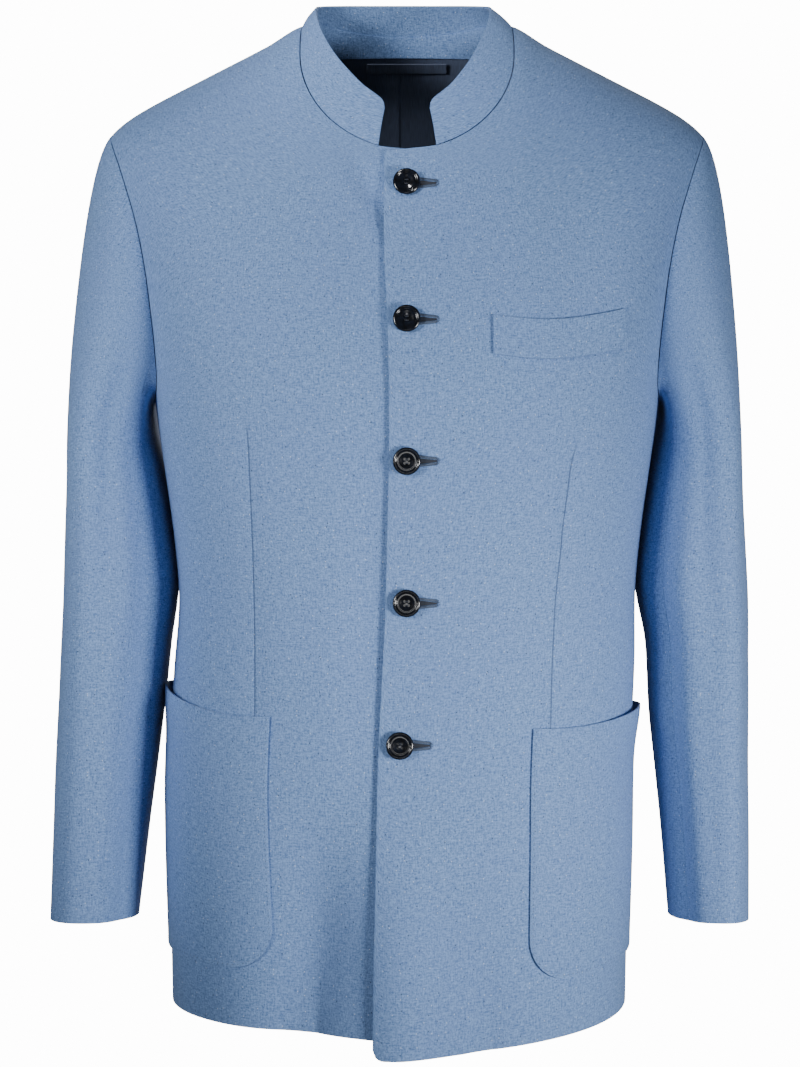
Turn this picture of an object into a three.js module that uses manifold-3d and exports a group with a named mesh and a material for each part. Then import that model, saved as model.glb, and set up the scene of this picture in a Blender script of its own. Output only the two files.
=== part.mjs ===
// A men's stand-collar blazer, buttoned and filled out as worn, open at the neck, hem and cuffs.
// Millimetres, +Z up. The front faces -Y and the wearer's left side is at +X.
// The origin lies midway between the two shoulder neck points, where the wearer carries the jacket.
import * as THREE from "three";
import { mergeVertices } from "three/addons/utils/BufferGeometryUtils.js";
import Module from "manifold-3d";

// Driving sizes
const CLOTH = 2; // shell cloth with its canvas
const COLLAR_CLOTH = 2.6; // two layers of cloth and a stiffener
const LINING_CLOTH = 1;
const SEAM_GAP = 0.3; // between pieces that are sewn edge to edge
const LAID_ON = 0.5; // from a panel's face to the pocket that lies on it
const CHEST_Z = -290; // the armhole's lowest level, where the front yoke begins
const BLADE_Z = -215; // the shoulder blades' level, where the back yoke begins
const HEM_SIDE_Z = -744;
const CUFF_Z = -681;
const BICEP_Z = -330; // the sleeve's first level section
const BODY_RADIUS = 150; // roughly
const SQUARENESS = 2.4; // of the body's sections: 2 is an ellipse
const RIDGE_HALF = 262; // half width that the yokes reach at the shoulder ridge
const RIDGE_Y = 4; // the shoulder seam lies this far behind the origin
const SHOULDER_X = 226; // shoulder tip, half the shoulder width
const NECK_X = 80.6; // shoulder neck point
const STEP_PER_MM = 1 / 330; // height steps below the yoke

const CLOTH_COLOUR = 0x6f8cb4;
const LINING_COLOUR = 0x141a28;
const BUTTON_COLOUR = 0x07080c;

// Level sections of the body: half width, and depth in front of and behind the side line
const SECTIONS = [
  { z: -800, half: 172.5, front: 139, back: 139 },
  { z: -700, half: 174.5, front: 138, back: 140 },
  { z: -620, half: 176.3, front: 136, back: 138 },
  { z: -550, half: 177, front: 132, back: 129 },
  { z: -490, half: 176.5, front: 129, back: 117 },
  { z: -437, half: 175, front: 128, back: 110 },
  { z: -390, half: 179, front: 130, back: 112 },
  { z: -340, half: 186, front: 134, back: 118 },
  { z: -290, half: 193, front: 138, back: 124 },
  { z: -215, half: 202, front: 138, back: 128 },
];

// Height of the shoulder ridge across the body
const RIDGE = [
  { x: -80, z: 1 },
  { x: 0, z: 13 },
  { x: 80, z: 1 },
  { x: 108, z: -15 },
  { x: 153, z: -38.5 },
  { x: 194, z: -60 },
  { x: 213, z: -71.5 },
  { x: 226, z: -82.5 },
  { x: 250, z: -111 },
];

// The armhole, from its lowest point over the front or the back to the shoulder tip. Turn is the angle round the body
// from the front's middle, in degrees.
const ARMHOLE_FRONT = [
  { turn: 91, z: -290 },
  { turn: 84, z: -288.3 },
  { turn: 79, z: -283.5 },
  { turn: 75.8, z: -275 },
  { turn: 72.8, z: -252 },
  { turn: 70.3, z: -224 },
  { turn: 67.4, z: -190 },
  { turn: 65.3, z: -157 },
  { turn: 64, z: -128.5 },
  { turn: 62.6, z: -106 },
  { turn: 59.6, z: -87 },
];
const ARMHOLE_BACK = [
  { turn: 91, z: -290 },
  { turn: 98.5, z: -284 },
  { turn: 104.3, z: -270 },
  { turn: 109.4, z: -245 },
  { turn: 111.7, z: -215 },
  { turn: 113, z: -180 },
  { turn: 115, z: -150 },
  { turn: 115.8, z: -120 },
  { turn: 117, z: -100 },
  { turn: 120.4, z: -87 },
];

// How far each front reaches past the middle, by height. The wearer's left front lies on top.
const LEFT_EDGE = [
  { z: -800, x: -19 },
  { z: -680, x: -17.5 },
  { z: -560, x: -16 },
  { z: -440, x: -16 },
  { z: -330, x: -13.5 },
  { z: -250, x: -14 },
  { z: -180, x: -17 },
  { z: -100, x: -17 },
];
const UNDERLAP = 17; // how far the right front reaches under the left one
const RECESS = 3.2; // how deep the right front lies under the left one
const RECESS_FROM = 22;
const RECESS_WIDTH = 38;

// The side seam's turn by height, in degrees
const SIDE_SEAM = [
  { z: -800, turn: 98 },
  { z: -480, turn: 98 },
  { z: -370, turn: 94 },
  { z: -290, turn: 91 },
];

// Hem: how much lower the front edge is than the side, and the back's middle
const HEM_CORNER = 8;
const HEM_CURVE = 1.2; // above 1 the hem falls sooner from the side
const LEFT_HEM_DROP = 29;
const RIGHT_HEM_DROP = 15.5;
const BACK_HEM_DROP = 3;

// Neckline in front: a quarter ellipse in the front view, then a short straight run to the front edge
const NECK_HALF = 82;
const NECK_MIDDLE_Z = -24;
const NECK_DROP = 79;
const COLLAR_END_X = 22;
const NECK_EDGE_SLOPE = 0.12;
const BACK_NECK_Z = -13;

// The collar's top edge on one side, by the share of half the collar's length from its front end: 0.5 is above the
// shoulder seam and 1 the middle of the back
const COLLAR_TOP = [
  { at: 0, x: 16, y: -59, z: -66 },
  { at: 0.036, x: 23.3, y: -58, z: -60.4 },
  { at: 0.088, x: 33.2, y: -55, z: -52.5 },
  { at: 0.149, x: 42.5, y: -49, z: -41.8 },
  { at: 0.214, x: 50.8, y: -41, z: -30.5 },
  { at: 0.27, x: 56.6, y: -33, z: -20.5 },
  { at: 0.351, x: 63.3, y: -20, z: -6 },
  { at: 0.419, x: 67, y: -8, z: 6 },
  { at: 0.492, x: 68.1, y: 8, z: 15 },
  { at: 0.585, x: 65, y: 25, z: 19 },
  { at: 0.727, x: 48, y: 44, z: 22.4 },
  { at: 0.865, x: 25, y: 53, z: 23.8 },
  { at: 1, x: 0, y: 56, z: 24.3 },
];
const COLLAR_TOP_SHIFT = -3; // the top edge leans to the wearer's right behind its front ends
const COLLAR_HEIGHT = 38;
const COLLAR_LENGTH = 250; // half of it, along the seam
const COLLAR_CORNER = 6; // radius of the top front corners
const COLLAR_BULGE = 1.2;
const COLLAR_CLEAR = 0.75; // from the neckline, in and up

// The sleeves' level sections: outer and inner side of each, front and back
const SLEEVE = [
  { z: -330, leftOuter: 256, leftInner: 192, rightOuter: 260.5, rightInner: 192.5, front: -68, back: 85 },
  { z: -380, leftOuter: 258.5, leftInner: 184.5, rightOuter: 262, rightInner: 184.5, front: -70, back: 78 },
  { z: -430, leftOuter: 260.8, leftInner: 179.5, rightOuter: 263, rightInner: 179, front: -72, back: 70 },
  { z: -476, leftOuter: 262, leftInner: 186.5, rightOuter: 263.2, rightInner: 181.5, front: -74, back: 63 },
  { z: -523, leftOuter: 264, leftInner: 191, rightOuter: 262, rightInner: 183.6, front: -76, back: 56 },
  { z: -570, leftOuter: 264.8, leftInner: 197.5, rightOuter: 261.2, rightInner: 187, front: -78, back: 49 },
  { z: -610, leftOuter: 264.6, leftInner: 201.5, rightOuter: 261.4, rightInner: 191.7, front: -80, back: 42 },
  { z: -681, leftOuter: 263.7, leftInner: 206.7, rightOuter: 263, rightInner: 199.5, front: -84, back: 28 },
];
const SLEEVE_RADIUS = 40; // roughly
const SLEEVE_SQUARENESS = 2.15;
const SLEEVE_SKEW = 0.1; // the sleeve's front edge stands further out than its back

// How the sleeve head leaves the armhole and reaches its first level section, by angle round the sleeve: 0 is the
// outside, 90 the front, 180 the inside and 270 the back
const SLEEVE_HEAD = [
  { round: 0, outward: 60, backward: 0, upward: -60, fall: 240 },
  { round: 45, outward: 56, backward: -26, upward: -46, fall: 190 },
  { round: 90, outward: 44, backward: -24, upward: -16, fall: 115 },
  { round: 135, outward: 22, backward: -12, upward: 2, fall: 62 },
  { round: 180, outward: 14, backward: 2, upward: 5, fall: 44 },
  { round: 225, outward: 22, backward: 14, upward: 2, fall: 62 },
  { round: 270, outward: 44, backward: 30, upward: -16, fall: 115 },
  { round: 315, outward: 56, backward: 28, upward: -46, fall: 190 },
  { round: 360, outward: 60, backward: 0, upward: -60, fall: 240 },
];

// The two long sleeve seams by height: the front one of each sleeve, and the back one
const SLEEVE_SEAMS = [
  { z: -700, leftFront: 143, rightFront: 109, back: 268 },
  { z: -574, leftFront: 146, rightFront: 113, back: 262 },
  { z: -483, leftFront: 146, rightFront: 118.5, back: 256 },
  { z: -420, leftFront: 144, rightFront: 123, back: 250.5 },
  { z: -392, leftFront: 143, rightFront: 130, back: 248 },
  { z: -330, leftFront: 141, rightFront: 141, back: 240 },
  { z: -250, leftFront: 135, rightFront: 135, back: 236.25 },
];
const SEAMS_TOP_Z = -250; // the sleeve seams' top row holds at the armhole

// Patch pockets, in heights at their front corner and at the side, and the turn that they end at
const POCKET_X = 96;
const POCKET_WIDTH = 172;
const POCKET_LEVEL = -620; // the height that its width is measured at
const POCKET_END_TURN = 95.5;
const POCKET_ABOVE_HEM = 43;
const POCKET_CORNER = 34;
const LEFT_POCKET = { front: -534, side: -520 };
const RIGHT_POCKET = { front: -525, side: -504 };

// Breast welt: its ends, its lower edge's height at both ends, its height and the dip of its long edges
const WELT = { from: 62.5, to: 161.5, z: -259.5, rise: 7, height: 29, dip: 4.5 };

const BUTTONS = 5;
const TOP_BUTTON_Z = -130;
const BUTTON_SPACING = 103.8;
const BUTTON_X = -0.5;
const BUTTON_RADIUS = 10.2;
const BUTTON_SEGMENTS = 24;
const BUTTON_CLEAR = 0.5;
const HOLES = 4;
const HOLE_RADIUS = 0.9;
const HOLE_FROM_MIDDLE = 2.1;
const HOLE_TURN = 45; // degrees
const HOLE_FLOOR = 1.8; // the holes end this far from the cloth

// The largest soft folds: where they run, how wide and how deep they are. Side 1 is the wearer's left.
const BODY_FOLDS = [
  { side: -1, x: 52, lean: -0.1, from: -530, to: -830, width: 28, depth: -15 },
  { side: -1, x: 0, lean: 0, from: -570, to: -830, width: 30, depth: 12 },
  { side: 1, x: 0, lean: 0, from: -570, to: -830, width: 30, depth: 13 },
  { side: 1, x: 66, lean: 0.05, from: -660, to: -830, width: 17, depth: -2 },
  { side: 1, x: 34, lean: 0, from: -690, to: -830, width: 18, depth: 1.2 },
  { side: 1, x: 128, lean: 0, from: -60, to: -300, width: 30, depth: -4.5 },
  { side: -1, x: 60, lean: 0.25, from: -110, to: -300, width: 24, depth: -2 },
];
const SLEEVE_FOLDS = [
  { round: 112, turn: -0.1, from: -235, to: -520, width: 13, depth: -4 },
  { round: 66, turn: 0.02, from: -190, to: -700, width: 26, depth: 3 },
  { round: 24, turn: 0.03, from: -240, to: -640, width: 22, depth: -2.2 },
  { round: 300, turn: 0.04, from: -230, to: -560, width: 24, depth: -2.4 },
];

const radians = THREE.MathUtils.degToRad;
const degrees = THREE.MathUtils.radToDeg;
const lerp = THREE.MathUtils.lerp;
const clamp = THREE.MathUtils.clamp;
const vector = (x, y, z) => new THREE.Vector3(x, y, z);

function ease(from, to, value) {
  return THREE.MathUtils.smoothstep((value - from) / (to - from), 0, 1);
}

// A column of a table at a place between its rows, on a smooth curve through them
function read(table, key, column, at) {
  const rows = table[0][key] < table[table.length - 1][key] ? table : [...table].reverse();
  const last = rows.length - 1;
  const place = clamp(at, rows[0][key], rows[last][key]);
  let k = 0;
  while (k < last - 1 && rows[k + 1][key] < place) k += 1;
  const slope = (i) => {
    const a = rows[Math.max(i - 1, 0)];
    const b = rows[Math.min(i + 1, last)];
    return (b[column] - a[column]) / (b[key] - a[key]);
  };
  const span = rows[k + 1][key] - rows[k][key];
  const t = (place - rows[k][key]) / span;
  return (
    (2 * t ** 3 - 3 * t ** 2 + 1) * rows[k][column] +
    (t ** 3 - 2 * t ** 2 + t) * span * slope(k) +
    (3 * t ** 2 - 2 * t ** 3) * rows[k + 1][column] +
    (t ** 3 - t ** 2) * span * slope(k + 1)
  );
}

// How far a piece reaches to one side of a rounded section where it reaches share of its half width across
function bulge(share, squareness) {
  return Math.max(0, 1 - Math.abs(share) ** squareness) ** (1 / squareness);
}

const ridgeZ = (x) => read(RIDGE, "x", "z", Math.abs(x));

// The soft folds' depth at a place on a front
function bodyFold(side, x, z) {
  let depth = 0;
  for (const fold of BODY_FOLDS.filter((row) => row.side === side)) {
    const middle = fold.x + fold.lean * (z - fold.from);
    const along = ease(fold.from, fold.from + (fold.to - fold.from) * 0.6, z);
    const fade = fold.to < -800 ? 1 : 1 - ease(fold.from + (fold.to - fold.from) * 0.6, fold.to, z);
    depth += fold.depth * along * fade * Math.exp(-(((x - middle) / fold.width) ** 2));
  }
  return depth;
}

// The yokes slope from the chest or the blades up to the shoulder ridge. Roundness is that of the slope.
const FRONT_YOKE = { base: CHEST_Z, half: 193, spread: 30, depth: -138, middle: 1.3, tip: 2 };
const BACK_YOKE = { base: BLADE_Z, half: 202, spread: 24, depth: 128, middle: 2.2, tip: 2 };

const heightOf = (yoke, step) => yoke.base + step / STEP_PER_MM;
const stepOf = (yoke, z) => (z - yoke.base) * STEP_PER_MM;

function yokeHalf(yoke, share) {
  return yoke.half + yoke.spread * share + (RIDGE_HALF - yoke.half - yoke.spread) * share ** 2;
}

// A place on the body has a yoke, a turn in radians from the front's middle, and a step: 0 is the yoke's base, 1 the
// shoulder ridge, and a step below 0 is a height under the base. This is its point on the outer face.
function bodyPoint({ yoke, turn, step }, side = 0) {
  const across = Math.sin(turn);
  let point;
  if (step <= 0) {
    const z = heightOf(yoke, step);
    const depth = Math.cos(turn) >= 0 ? -read(SECTIONS, "z", "front", z) : read(SECTIONS, "z", "back", z);
    const reach = bulge(across, SQUARENESS);
    point = vector(read(SECTIONS, "z", "half", z) * across, depth * reach, z);
  } else {
    const share = Math.sin((Math.min(step, 1) * Math.PI) / 2);
    const x = yokeHalf(yoke, share) * across;
    const off = Math.abs(degrees(Math.asin(clamp(across, -1, 1))));
    const roundness = lerp(yoke.middle, yoke.tip, ease(0, 60, off));
    const slope = bulge(share, roundness);
    const y = yoke.depth * bulge(across, SQUARENESS) * slope + RIDGE_Y * (1 - slope);
    point = vector(x, y, yoke.base + (ridgeZ(x) - yoke.base) * share);
  }
  if (side) {
    const fold = bodyFold(side, point.x, point.z);
    point.x += fold * across;
    point.y -= fold * Math.cos(turn);
  }
  return point;
}

// The step at which a yoke reaches a height, at a distance across
function stepAt(yoke, x, z) {
  if (z <= yoke.base) return stepOf(yoke, z);
  return (2 / Math.PI) * Math.asin(clamp((z - yoke.base) / (ridgeZ(x) - yoke.base), 0, 1));
}

// The place on the front or the back that is seen at x and z
function placeAt(yoke, x, z) {
  const share = clamp((z - yoke.base) / (ridgeZ(x) - yoke.base), 0, 1);
  const half = z <= yoke.base ? read(SECTIONS, "z", "half", z) : yokeHalf(yoke, share);
  const turn = Math.asin(clamp(x / half, -1, 1));
  return { yoke, turn: yoke === FRONT_YOKE ? turn : Math.PI - turn, step: stepAt(yoke, x, z) };
}

// The place at a turn and a height
function placeTurned(yoke, turn, z) {
  if (z <= yoke.base) return { yoke, turn, step: stepOf(yoke, z) };
  let x = yoke.half * Math.sin(turn);
  for (let pass = 0; pass < 12; pass += 1) {
    const share = clamp((z - yoke.base) / (ridgeZ(x) - yoke.base), 0, 1);
    x = yokeHalf(yoke, share) * Math.sin(turn);
  }
  return { yoke, turn, step: stepAt(yoke, x, z) };
}

// A curve through places, read by the share of its length on the body
function curveOnBody(places) {
  const { yoke } = places[0];
  const points = places.map((place) => bodyPoint(place));
  const lengths = [0];
  for (let k = 1; k < points.length; k += 1) lengths.push(lengths[k - 1] + points[k].distanceTo(points[k - 1]));
  const total = lengths[lengths.length - 1];
  const rows = places.map((p, k) => ({ along: lengths[k] / total, turn: p.turn, step: p.step }));
  return (along) => ({
    yoke,
    turn: read(rows, "along", "turn", along),
    step: read(rows, "along", "step", along),
  });
}

function armholeCurve(table, yoke) {
  const rows = table.slice(0, -1).map((row) => placeTurned(yoke, radians(row.turn), row.z));
  return curveOnBody([...rows, { ...placeAt(yoke, SHOULDER_X, ridgeZ(SHOULDER_X)), step: 1 }]);
}

const armholeFront = armholeCurve(ARMHOLE_FRONT, FRONT_YOKE);
const armholeBack = armholeCurve(ARMHOLE_BACK, BACK_YOKE);

// The front neckline's height across, left of the middle too
function neckZ(x) {
  const end = NECK_MIDDLE_Z - NECK_DROP * Math.sqrt(1 - (COLLAR_END_X / NECK_HALF) ** 2);
  if (x < COLLAR_END_X) return end - (COLLAR_END_X - x) * NECK_EDGE_SLOPE;
  return NECK_MIDDLE_Z - NECK_DROP * Math.sqrt(Math.max(0, 1 - (x / NECK_HALF) ** 2));
}

// Places along the front neckline from x to the shoulder neck point
function frontNeckPlaces(fromX) {
  const places = [];
  if (fromX < COLLAR_END_X) {
    for (const x of [fromX, (fromX + COLLAR_END_X) / 2]) places.push(placeAt(FRONT_YOKE, x, neckZ(x)));
  }
  const first = Math.asin(COLLAR_END_X / NECK_HALF);
  const steps = 9;
  for (let k = 0; k <= steps; k += 1) {
    const x = NECK_HALF * Math.sin(lerp(first, Math.PI / 2, k / steps));
    places.push(placeAt(FRONT_YOKE, x, neckZ(x)));
  }
  const top = placeAt(FRONT_YOKE, NECK_X, ridgeZ(NECK_X));
  const side = places[places.length - 1];
  places.push({ ...top, turn: lerp(side.turn, top.turn, 0.6), step: lerp(side.step, 1, 0.55) });
  places.push({ ...top, step: 1 });
  return places;
}

// The back neckline's height across
function backNeckZ(x) {
  return lerp(BACK_NECK_Z, ridgeZ(NECK_X) - 0.6, Math.min(1, (x / NECK_X) ** 2));
}

// Places along the back neckline from the middle to the shoulder neck point
function backNeckPlaces() {
  const places = [];
  const steps = 8;
  for (let k = 0; k < steps; k += 1) {
    const x = Math.max(NECK_X * Math.sin((k / steps) * (Math.PI / 2)), SEAM_GAP / 2);
    places.push(placeAt(BACK_YOKE, x, backNeckZ(x)));
  }
  const top = placeAt(BACK_YOKE, NECK_X, ridgeZ(NECK_X));
  places.push({ ...top, step: 1 });
  return places;
}

// The whole jacket hangs a little to the wearer's right below the waist
const lean = (z) => -6.2 * ease(-430, -590, z);

function placed(point, side) {
  return vector(point.x * side + lean(point.z), point.y, point.z);
}

// A closed wall of cloth behind a surface, sampled at the places in us and vs. Raise moves the whole wall out. The
// thickness runs straight down along a ridge, which is the last of vs, and level all over an upright wall.
function wall(surface, us, vs, { side = 1, thickness = CLOTH, raise = 0, ridge = false, upright = false }) {
  const nudge = 1e-4;
  const rows = vs.length;
  const positions = [];
  const faces = [[], []];
  us.forEach((u) =>
    vs.forEach((v, j) => {
      const point = surface(u, v);
      const across = surface(u + nudge, v).sub(surface(u - nudge, v));
      const along = surface(u, v + nudge).sub(surface(u, v - nudge));
      const normal = across.cross(along).multiplyScalar(side);
      if (ridge && j === rows - 1) normal.y = 0;
      if (upright) normal.z = 0;
      normal.normalize();
      faces[0].push(point.clone().addScaledVector(normal, raise));
      faces[1].push(point.addScaledVector(normal, raise - thickness));
    }),
  );
  for (const point of faces.flat()) positions.push(point.x, point.y, point.z);
  const outer = (i, j) => i * rows + j;
  const inner = (i, j) => us.length * rows + i * rows + j;
  const index = [];
  const quad = (a, b, c, d) => (side > 0 ? index.push(a, b, c, a, c, d) : index.push(a, c, b, a, d, c));
  for (let i = 0; i < us.length - 1; i += 1) {
    for (let j = 0; j < rows - 1; j += 1) {
      quad(outer(i, j), outer(i + 1, j), outer(i + 1, j + 1), outer(i, j + 1));
      quad(inner(i, j + 1), inner(i + 1, j + 1), inner(i + 1, j), inner(i, j));
    }
    quad(inner(i, 0), inner(i + 1, 0), outer(i + 1, 0), outer(i, 0));
    quad(outer(i, rows - 1), outer(i + 1, rows - 1), inner(i + 1, rows - 1), inner(i, rows - 1));
  }
  const last = us.length - 1;
  for (let j = 0; j < rows - 1; j += 1) {
    quad(outer(0, j), outer(0, j + 1), inner(0, j + 1), inner(0, j));
    quad(inner(last, j), inner(last, j + 1), outer(last, j + 1), outer(last, j));
  }
  const geometry = new THREE.BufferGeometry();
  geometry.setAttribute("position", new THREE.Float32BufferAttribute(positions, 3));
  geometry.setIndex(index);
  geometry.computeVertexNormals();
  return geometry;
}

const cloth = new THREE.MeshStandardMaterial({ color: CLOTH_COLOUR, roughness: 0.85, metalness: 0 });
const liningCloth = new THREE.MeshStandardMaterial({ color: LINING_COLOUR, roughness: 0.45, metalness: 0 });
const buttonHorn = new THREE.MeshStandardMaterial({ color: BUTTON_COLOUR, roughness: 0.15, metalness: 0 });

const blazer = new THREE.Group();
function add(name, geometry, material) {
  const mesh = new THREE.Mesh(geometry, material);
  mesh.name = name;
  blazer.add(mesh);
  return mesh;
}

const shares = (count) => Array.from({ length: count + 1 }, (_, k) => k / count);
const seamTurn = SEAM_GAP / 2 / BODY_RADIUS; // half a seam's gap, in radians round the body

// Fronts, each one wall from the front edge to the side seam, the armhole and the shoulder seam. Across is 0 at the
// front edge and 1 at the side. Up is 0 at the hem, 1 at the armhole's lowest level and 2 at the shoulder seam.
const FRONT_COLUMNS = [0, 0.02, 0.06, 0.12, 0.18, 0.25, 0.32, 0.39, 0.46, 0.53, 0.6, 0.67, 0.74, 0.81, 0.88, 0.94, 1];
const LOWER_ROWS = 11;
const UPPER_ROWS = 16;
const PANEL_ROWS = [...shares(LOWER_ROWS).slice(0, -1), ...shares(UPPER_ROWS).map((share) => 1 + share)];
const NECK_SHARE = 0.5; // the share of a front's upper rows that start on its front edge
const COLLAR_START = 0.2; // the share of the front neckline that lies between the front's edge and the collar's end
const UNDER_COLLAR = 0.25; // the share of a front's neckline rows that lie before the collar's end
const NECK_CROWDING = 1.15; // above 1 the rows lie closer together near the collar's end

function frontEdgeX(side, z) {
  return side > 0 ? read(LEFT_EDGE, "z", "x", z) : -UNDERLAP;
}

function frontHemZ(side, turn) {
  const drop = side > 0 ? LEFT_HEM_DROP : RIGHT_HEM_DROP;
  return HEM_SIDE_Z - drop * clamp(1 - (Math.max(degrees(turn), 0) / 90) ** HEM_CURVE, 0, 1);
}

// How far a point of the right front lies behind the common outer face
function recess(side, x) {
  return side > 0 ? 0 : RECESS * (1 - ease(RECESS_FROM, RECESS_FROM + RECESS_WIDTH, x));
}

function frontPoint(side, place) {
  const point = bodyPoint(place, side);
  const sunk = recess(side, point.x);
  point.x -= sunk * Math.sin(place.turn);
  point.y += sunk * Math.cos(place.turn);
  return point;
}

// The place a share of the way from one place to another of the same yoke
function between(from, to, share) {
  return { yoke: from.yoke, turn: lerp(from.turn, to.turn, share), step: lerp(from.step, to.step, share) };
}

const frontNeck = curveOnBody(frontNeckPlaces(-UNDERLAP));
const backNeck = curveOnBody(backNeckPlaces());
const sideTurn = (z) => radians(read(SIDE_SEAM, "z", "turn", z));

// The left front's lower corner is rounded
function cornerRise(x, z) {
  const near = clamp(1 - (x - frontEdgeX(1, HEM_SIDE_Z)) / HEM_CORNER, 0, 1);
  return HEM_CORNER * (1 - Math.sqrt(1 - near ** 2)) * (1 - ease(HEM_SIDE_Z, HEM_SIDE_Z + HEM_CORNER * 6, z));
}

// Where a share of the neckline's rows lies along it, with one row at the collar's end
function neckAlong(share) {
  if (share < UNDER_COLLAR) return (share / UNDER_COLLAR) * COLLAR_START;
  return lerp(COLLAR_START, 1, ((share - UNDER_COLLAR) / (1 - UNDER_COLLAR)) ** NECK_CROWDING);
}

function frontPlace(side, across, up) {
  if (up < 1) {
    const level = lerp(HEM_SIDE_Z, CHEST_Z, up);
    const edge = Math.asin(frontEdgeX(side, level) / read(SECTIONS, "z", "half", level));
    const turn = lerp(edge, sideTurn(level), across);
    const z = lerp(frontHemZ(side, turn), CHEST_Z, up);
    const rise = side > 0 ? cornerRise(read(SECTIONS, "z", "half", level) * Math.sin(turn), level) : 0;
    return { yoke: FRONT_YOKE, turn, step: stepOf(FRONT_YOKE, z + rise) };
  }
  const share = up - 1;
  let start = frontNeck(neckAlong((share - NECK_SHARE) / (1 - NECK_SHARE)));
  if (share < NECK_SHARE) {
    const z = lerp(CHEST_Z, neckZ(-UNDERLAP), share / NECK_SHARE);
    start = placeAt(FRONT_YOKE, frontEdgeX(side, z), z);
  }
  return between(start, armholeFront(share), across);
}

function frontSurface(side) {
  return (across, up) => {
    const place = frontPlace(side, across, up);
    if (across === 1) place.turn -= up < 1 ? seamTurn : 0;
    const point = frontPoint(side, place);
    if (up === 2) point.y -= SEAM_GAP / 2;
    return placed(point, side);
  };
}

// Backs, each one wall from the side seam and the armhole to the middle seam. Across is 0 at the side and 1 at the
// middle, and up is as on the fronts.
const BACK_COLUMNS = 10;
const BACK_NECK_SHARE = 0.625;
const MIDDLE_BACK = Math.PI - seamTurn;

function backPlace(across, up) {
  if (up < 1) {
    const level = lerp(HEM_SIDE_Z, CHEST_Z, up);
    const z = lerp(HEM_SIDE_Z - BACK_HEM_DROP * across, CHEST_Z, up);
    return { yoke: BACK_YOKE, turn: lerp(sideTurn(level), MIDDLE_BACK, across), step: stepOf(BACK_YOKE, z) };
  }
  const share = up - 1;
  let end = backNeck((share - BACK_NECK_SHARE) / (1 - BACK_NECK_SHARE));
  if (share < BACK_NECK_SHARE) {
    const z = lerp(CHEST_Z, BACK_NECK_Z, share / BACK_NECK_SHARE);
    end = { yoke: BACK_YOKE, turn: MIDDLE_BACK, step: stepAt(BACK_YOKE, 0, z) };
  }
  return between(armholeBack(share), end, across);
}

function backSurface(side) {
  return (across, up) => {
    const place = backPlace(across, up);
    if (across === 0) place.turn += up < 1 ? seamTurn : 0;
    const point = bodyPoint(place);
    if (up === 2) point.y += SEAM_GAP / 2;
    return placed(point, side);
  };
}

// The sleeve, by angle round it in degrees and by level: 0 is the armhole, 1 the first level section, 2 the cuff
function sleeveSection(side, round, z) {
  const name = side > 0 ? "left" : "right";
  const outer = read(SLEEVE, "z", `${name}Outer`, z);
  const inner = read(SLEEVE, "z", `${name}Inner`, z);
  const front = read(SLEEVE, "z", "front", z);
  const back = read(SLEEVE, "z", "back", z);
  const angle = radians(round);
  const power = 2 / SLEEVE_SQUARENESS;
  const across = Math.sign(Math.cos(angle)) * Math.abs(Math.cos(angle)) ** power;
  const ahead = Math.sign(Math.sin(angle)) * Math.abs(Math.sin(angle)) ** power;
  const y = (front + back) / 2 - (ahead * (back - front)) / 2;
  const skew = -SLEEVE_SKEW * (y - (front + back) / 2);
  return vector((outer + inner) / 2 + (across * (outer - inner)) / 2 + skew, y, z);
}

function sleeveFold(round, z) {
  let depth = 0;
  for (const fold of SLEEVE_FOLDS) {
    const middle = fold.round + fold.turn * (fold.from - z);
    const off = ((((round - middle) % 360) + 540) % 360) - 180;
    const length = fold.to - fold.from;
    const along = ease(fold.from, fold.from + length * 0.3, z) * (1 - ease(fold.from + length * 0.6, fold.to, z));
    depth += fold.depth * along * Math.exp(-((off / fold.width) ** 2));
  }
  return depth;
}

function armholePoint(round) {
  const angle = ((round % 360) + 360) % 360;
  return bodyPoint(angle <= 180 ? armholeFront(1 - angle / 180) : armholeBack((angle - 180) / 180));
}

function sleevePoint(side, round, level) {
  const angle = ((round % 360) + 360) % 360;
  let point;
  if (level > 1) {
    point = sleeveSection(side, angle, lerp(BICEP_Z, CUFF_Z, level - 1));
  } else {
    const start = armholePoint(angle);
    const end = sleeveSection(side, angle, BICEP_Z);
    const next = sleeveSection(side, angle, BICEP_Z - 10);
    const leave = vector(
      read(SLEEVE_HEAD, "round", "outward", angle),
      read(SLEEVE_HEAD, "round", "backward", angle),
      read(SLEEVE_HEAD, "round", "upward", angle),
    );
    const reach = next.sub(end).normalize().multiplyScalar(read(SLEEVE_HEAD, "round", "fall", angle));
    start.addScaledVector(leave.clone().normalize(), SEAM_GAP * 2);
    const t = level;
    point = start
      .multiplyScalar(2 * t ** 3 - 3 * t ** 2 + 1)
      .addScaledVector(leave, t ** 3 - 2 * t ** 2 + t)
      .addScaledVector(end, 3 * t ** 2 - 2 * t ** 3)
      .addScaledVector(reach, t ** 3 - t ** 2);
  }
  const fold = sleeveFold(angle, point.z);
  point.x += fold * Math.cos(radians(angle));
  point.y -= fold * Math.sin(radians(angle));
  return point;
}

const HEAD_LEVELS = [0, 0.06, 0.14, 0.25, 0.4, 0.56, 0.74, 0.88];
const TUBE_ROWS = 9;
const SLEEVE_LEVELS = [...HEAD_LEVELS, ...shares(TUBE_ROWS).map((share) => 1 + share)];
const UPPER_SLEEVE_COLUMNS = 23; // at the armhole each meets a row of the front or the back
const UNDER_SLEEVE_COLUMNS = 9;

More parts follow.
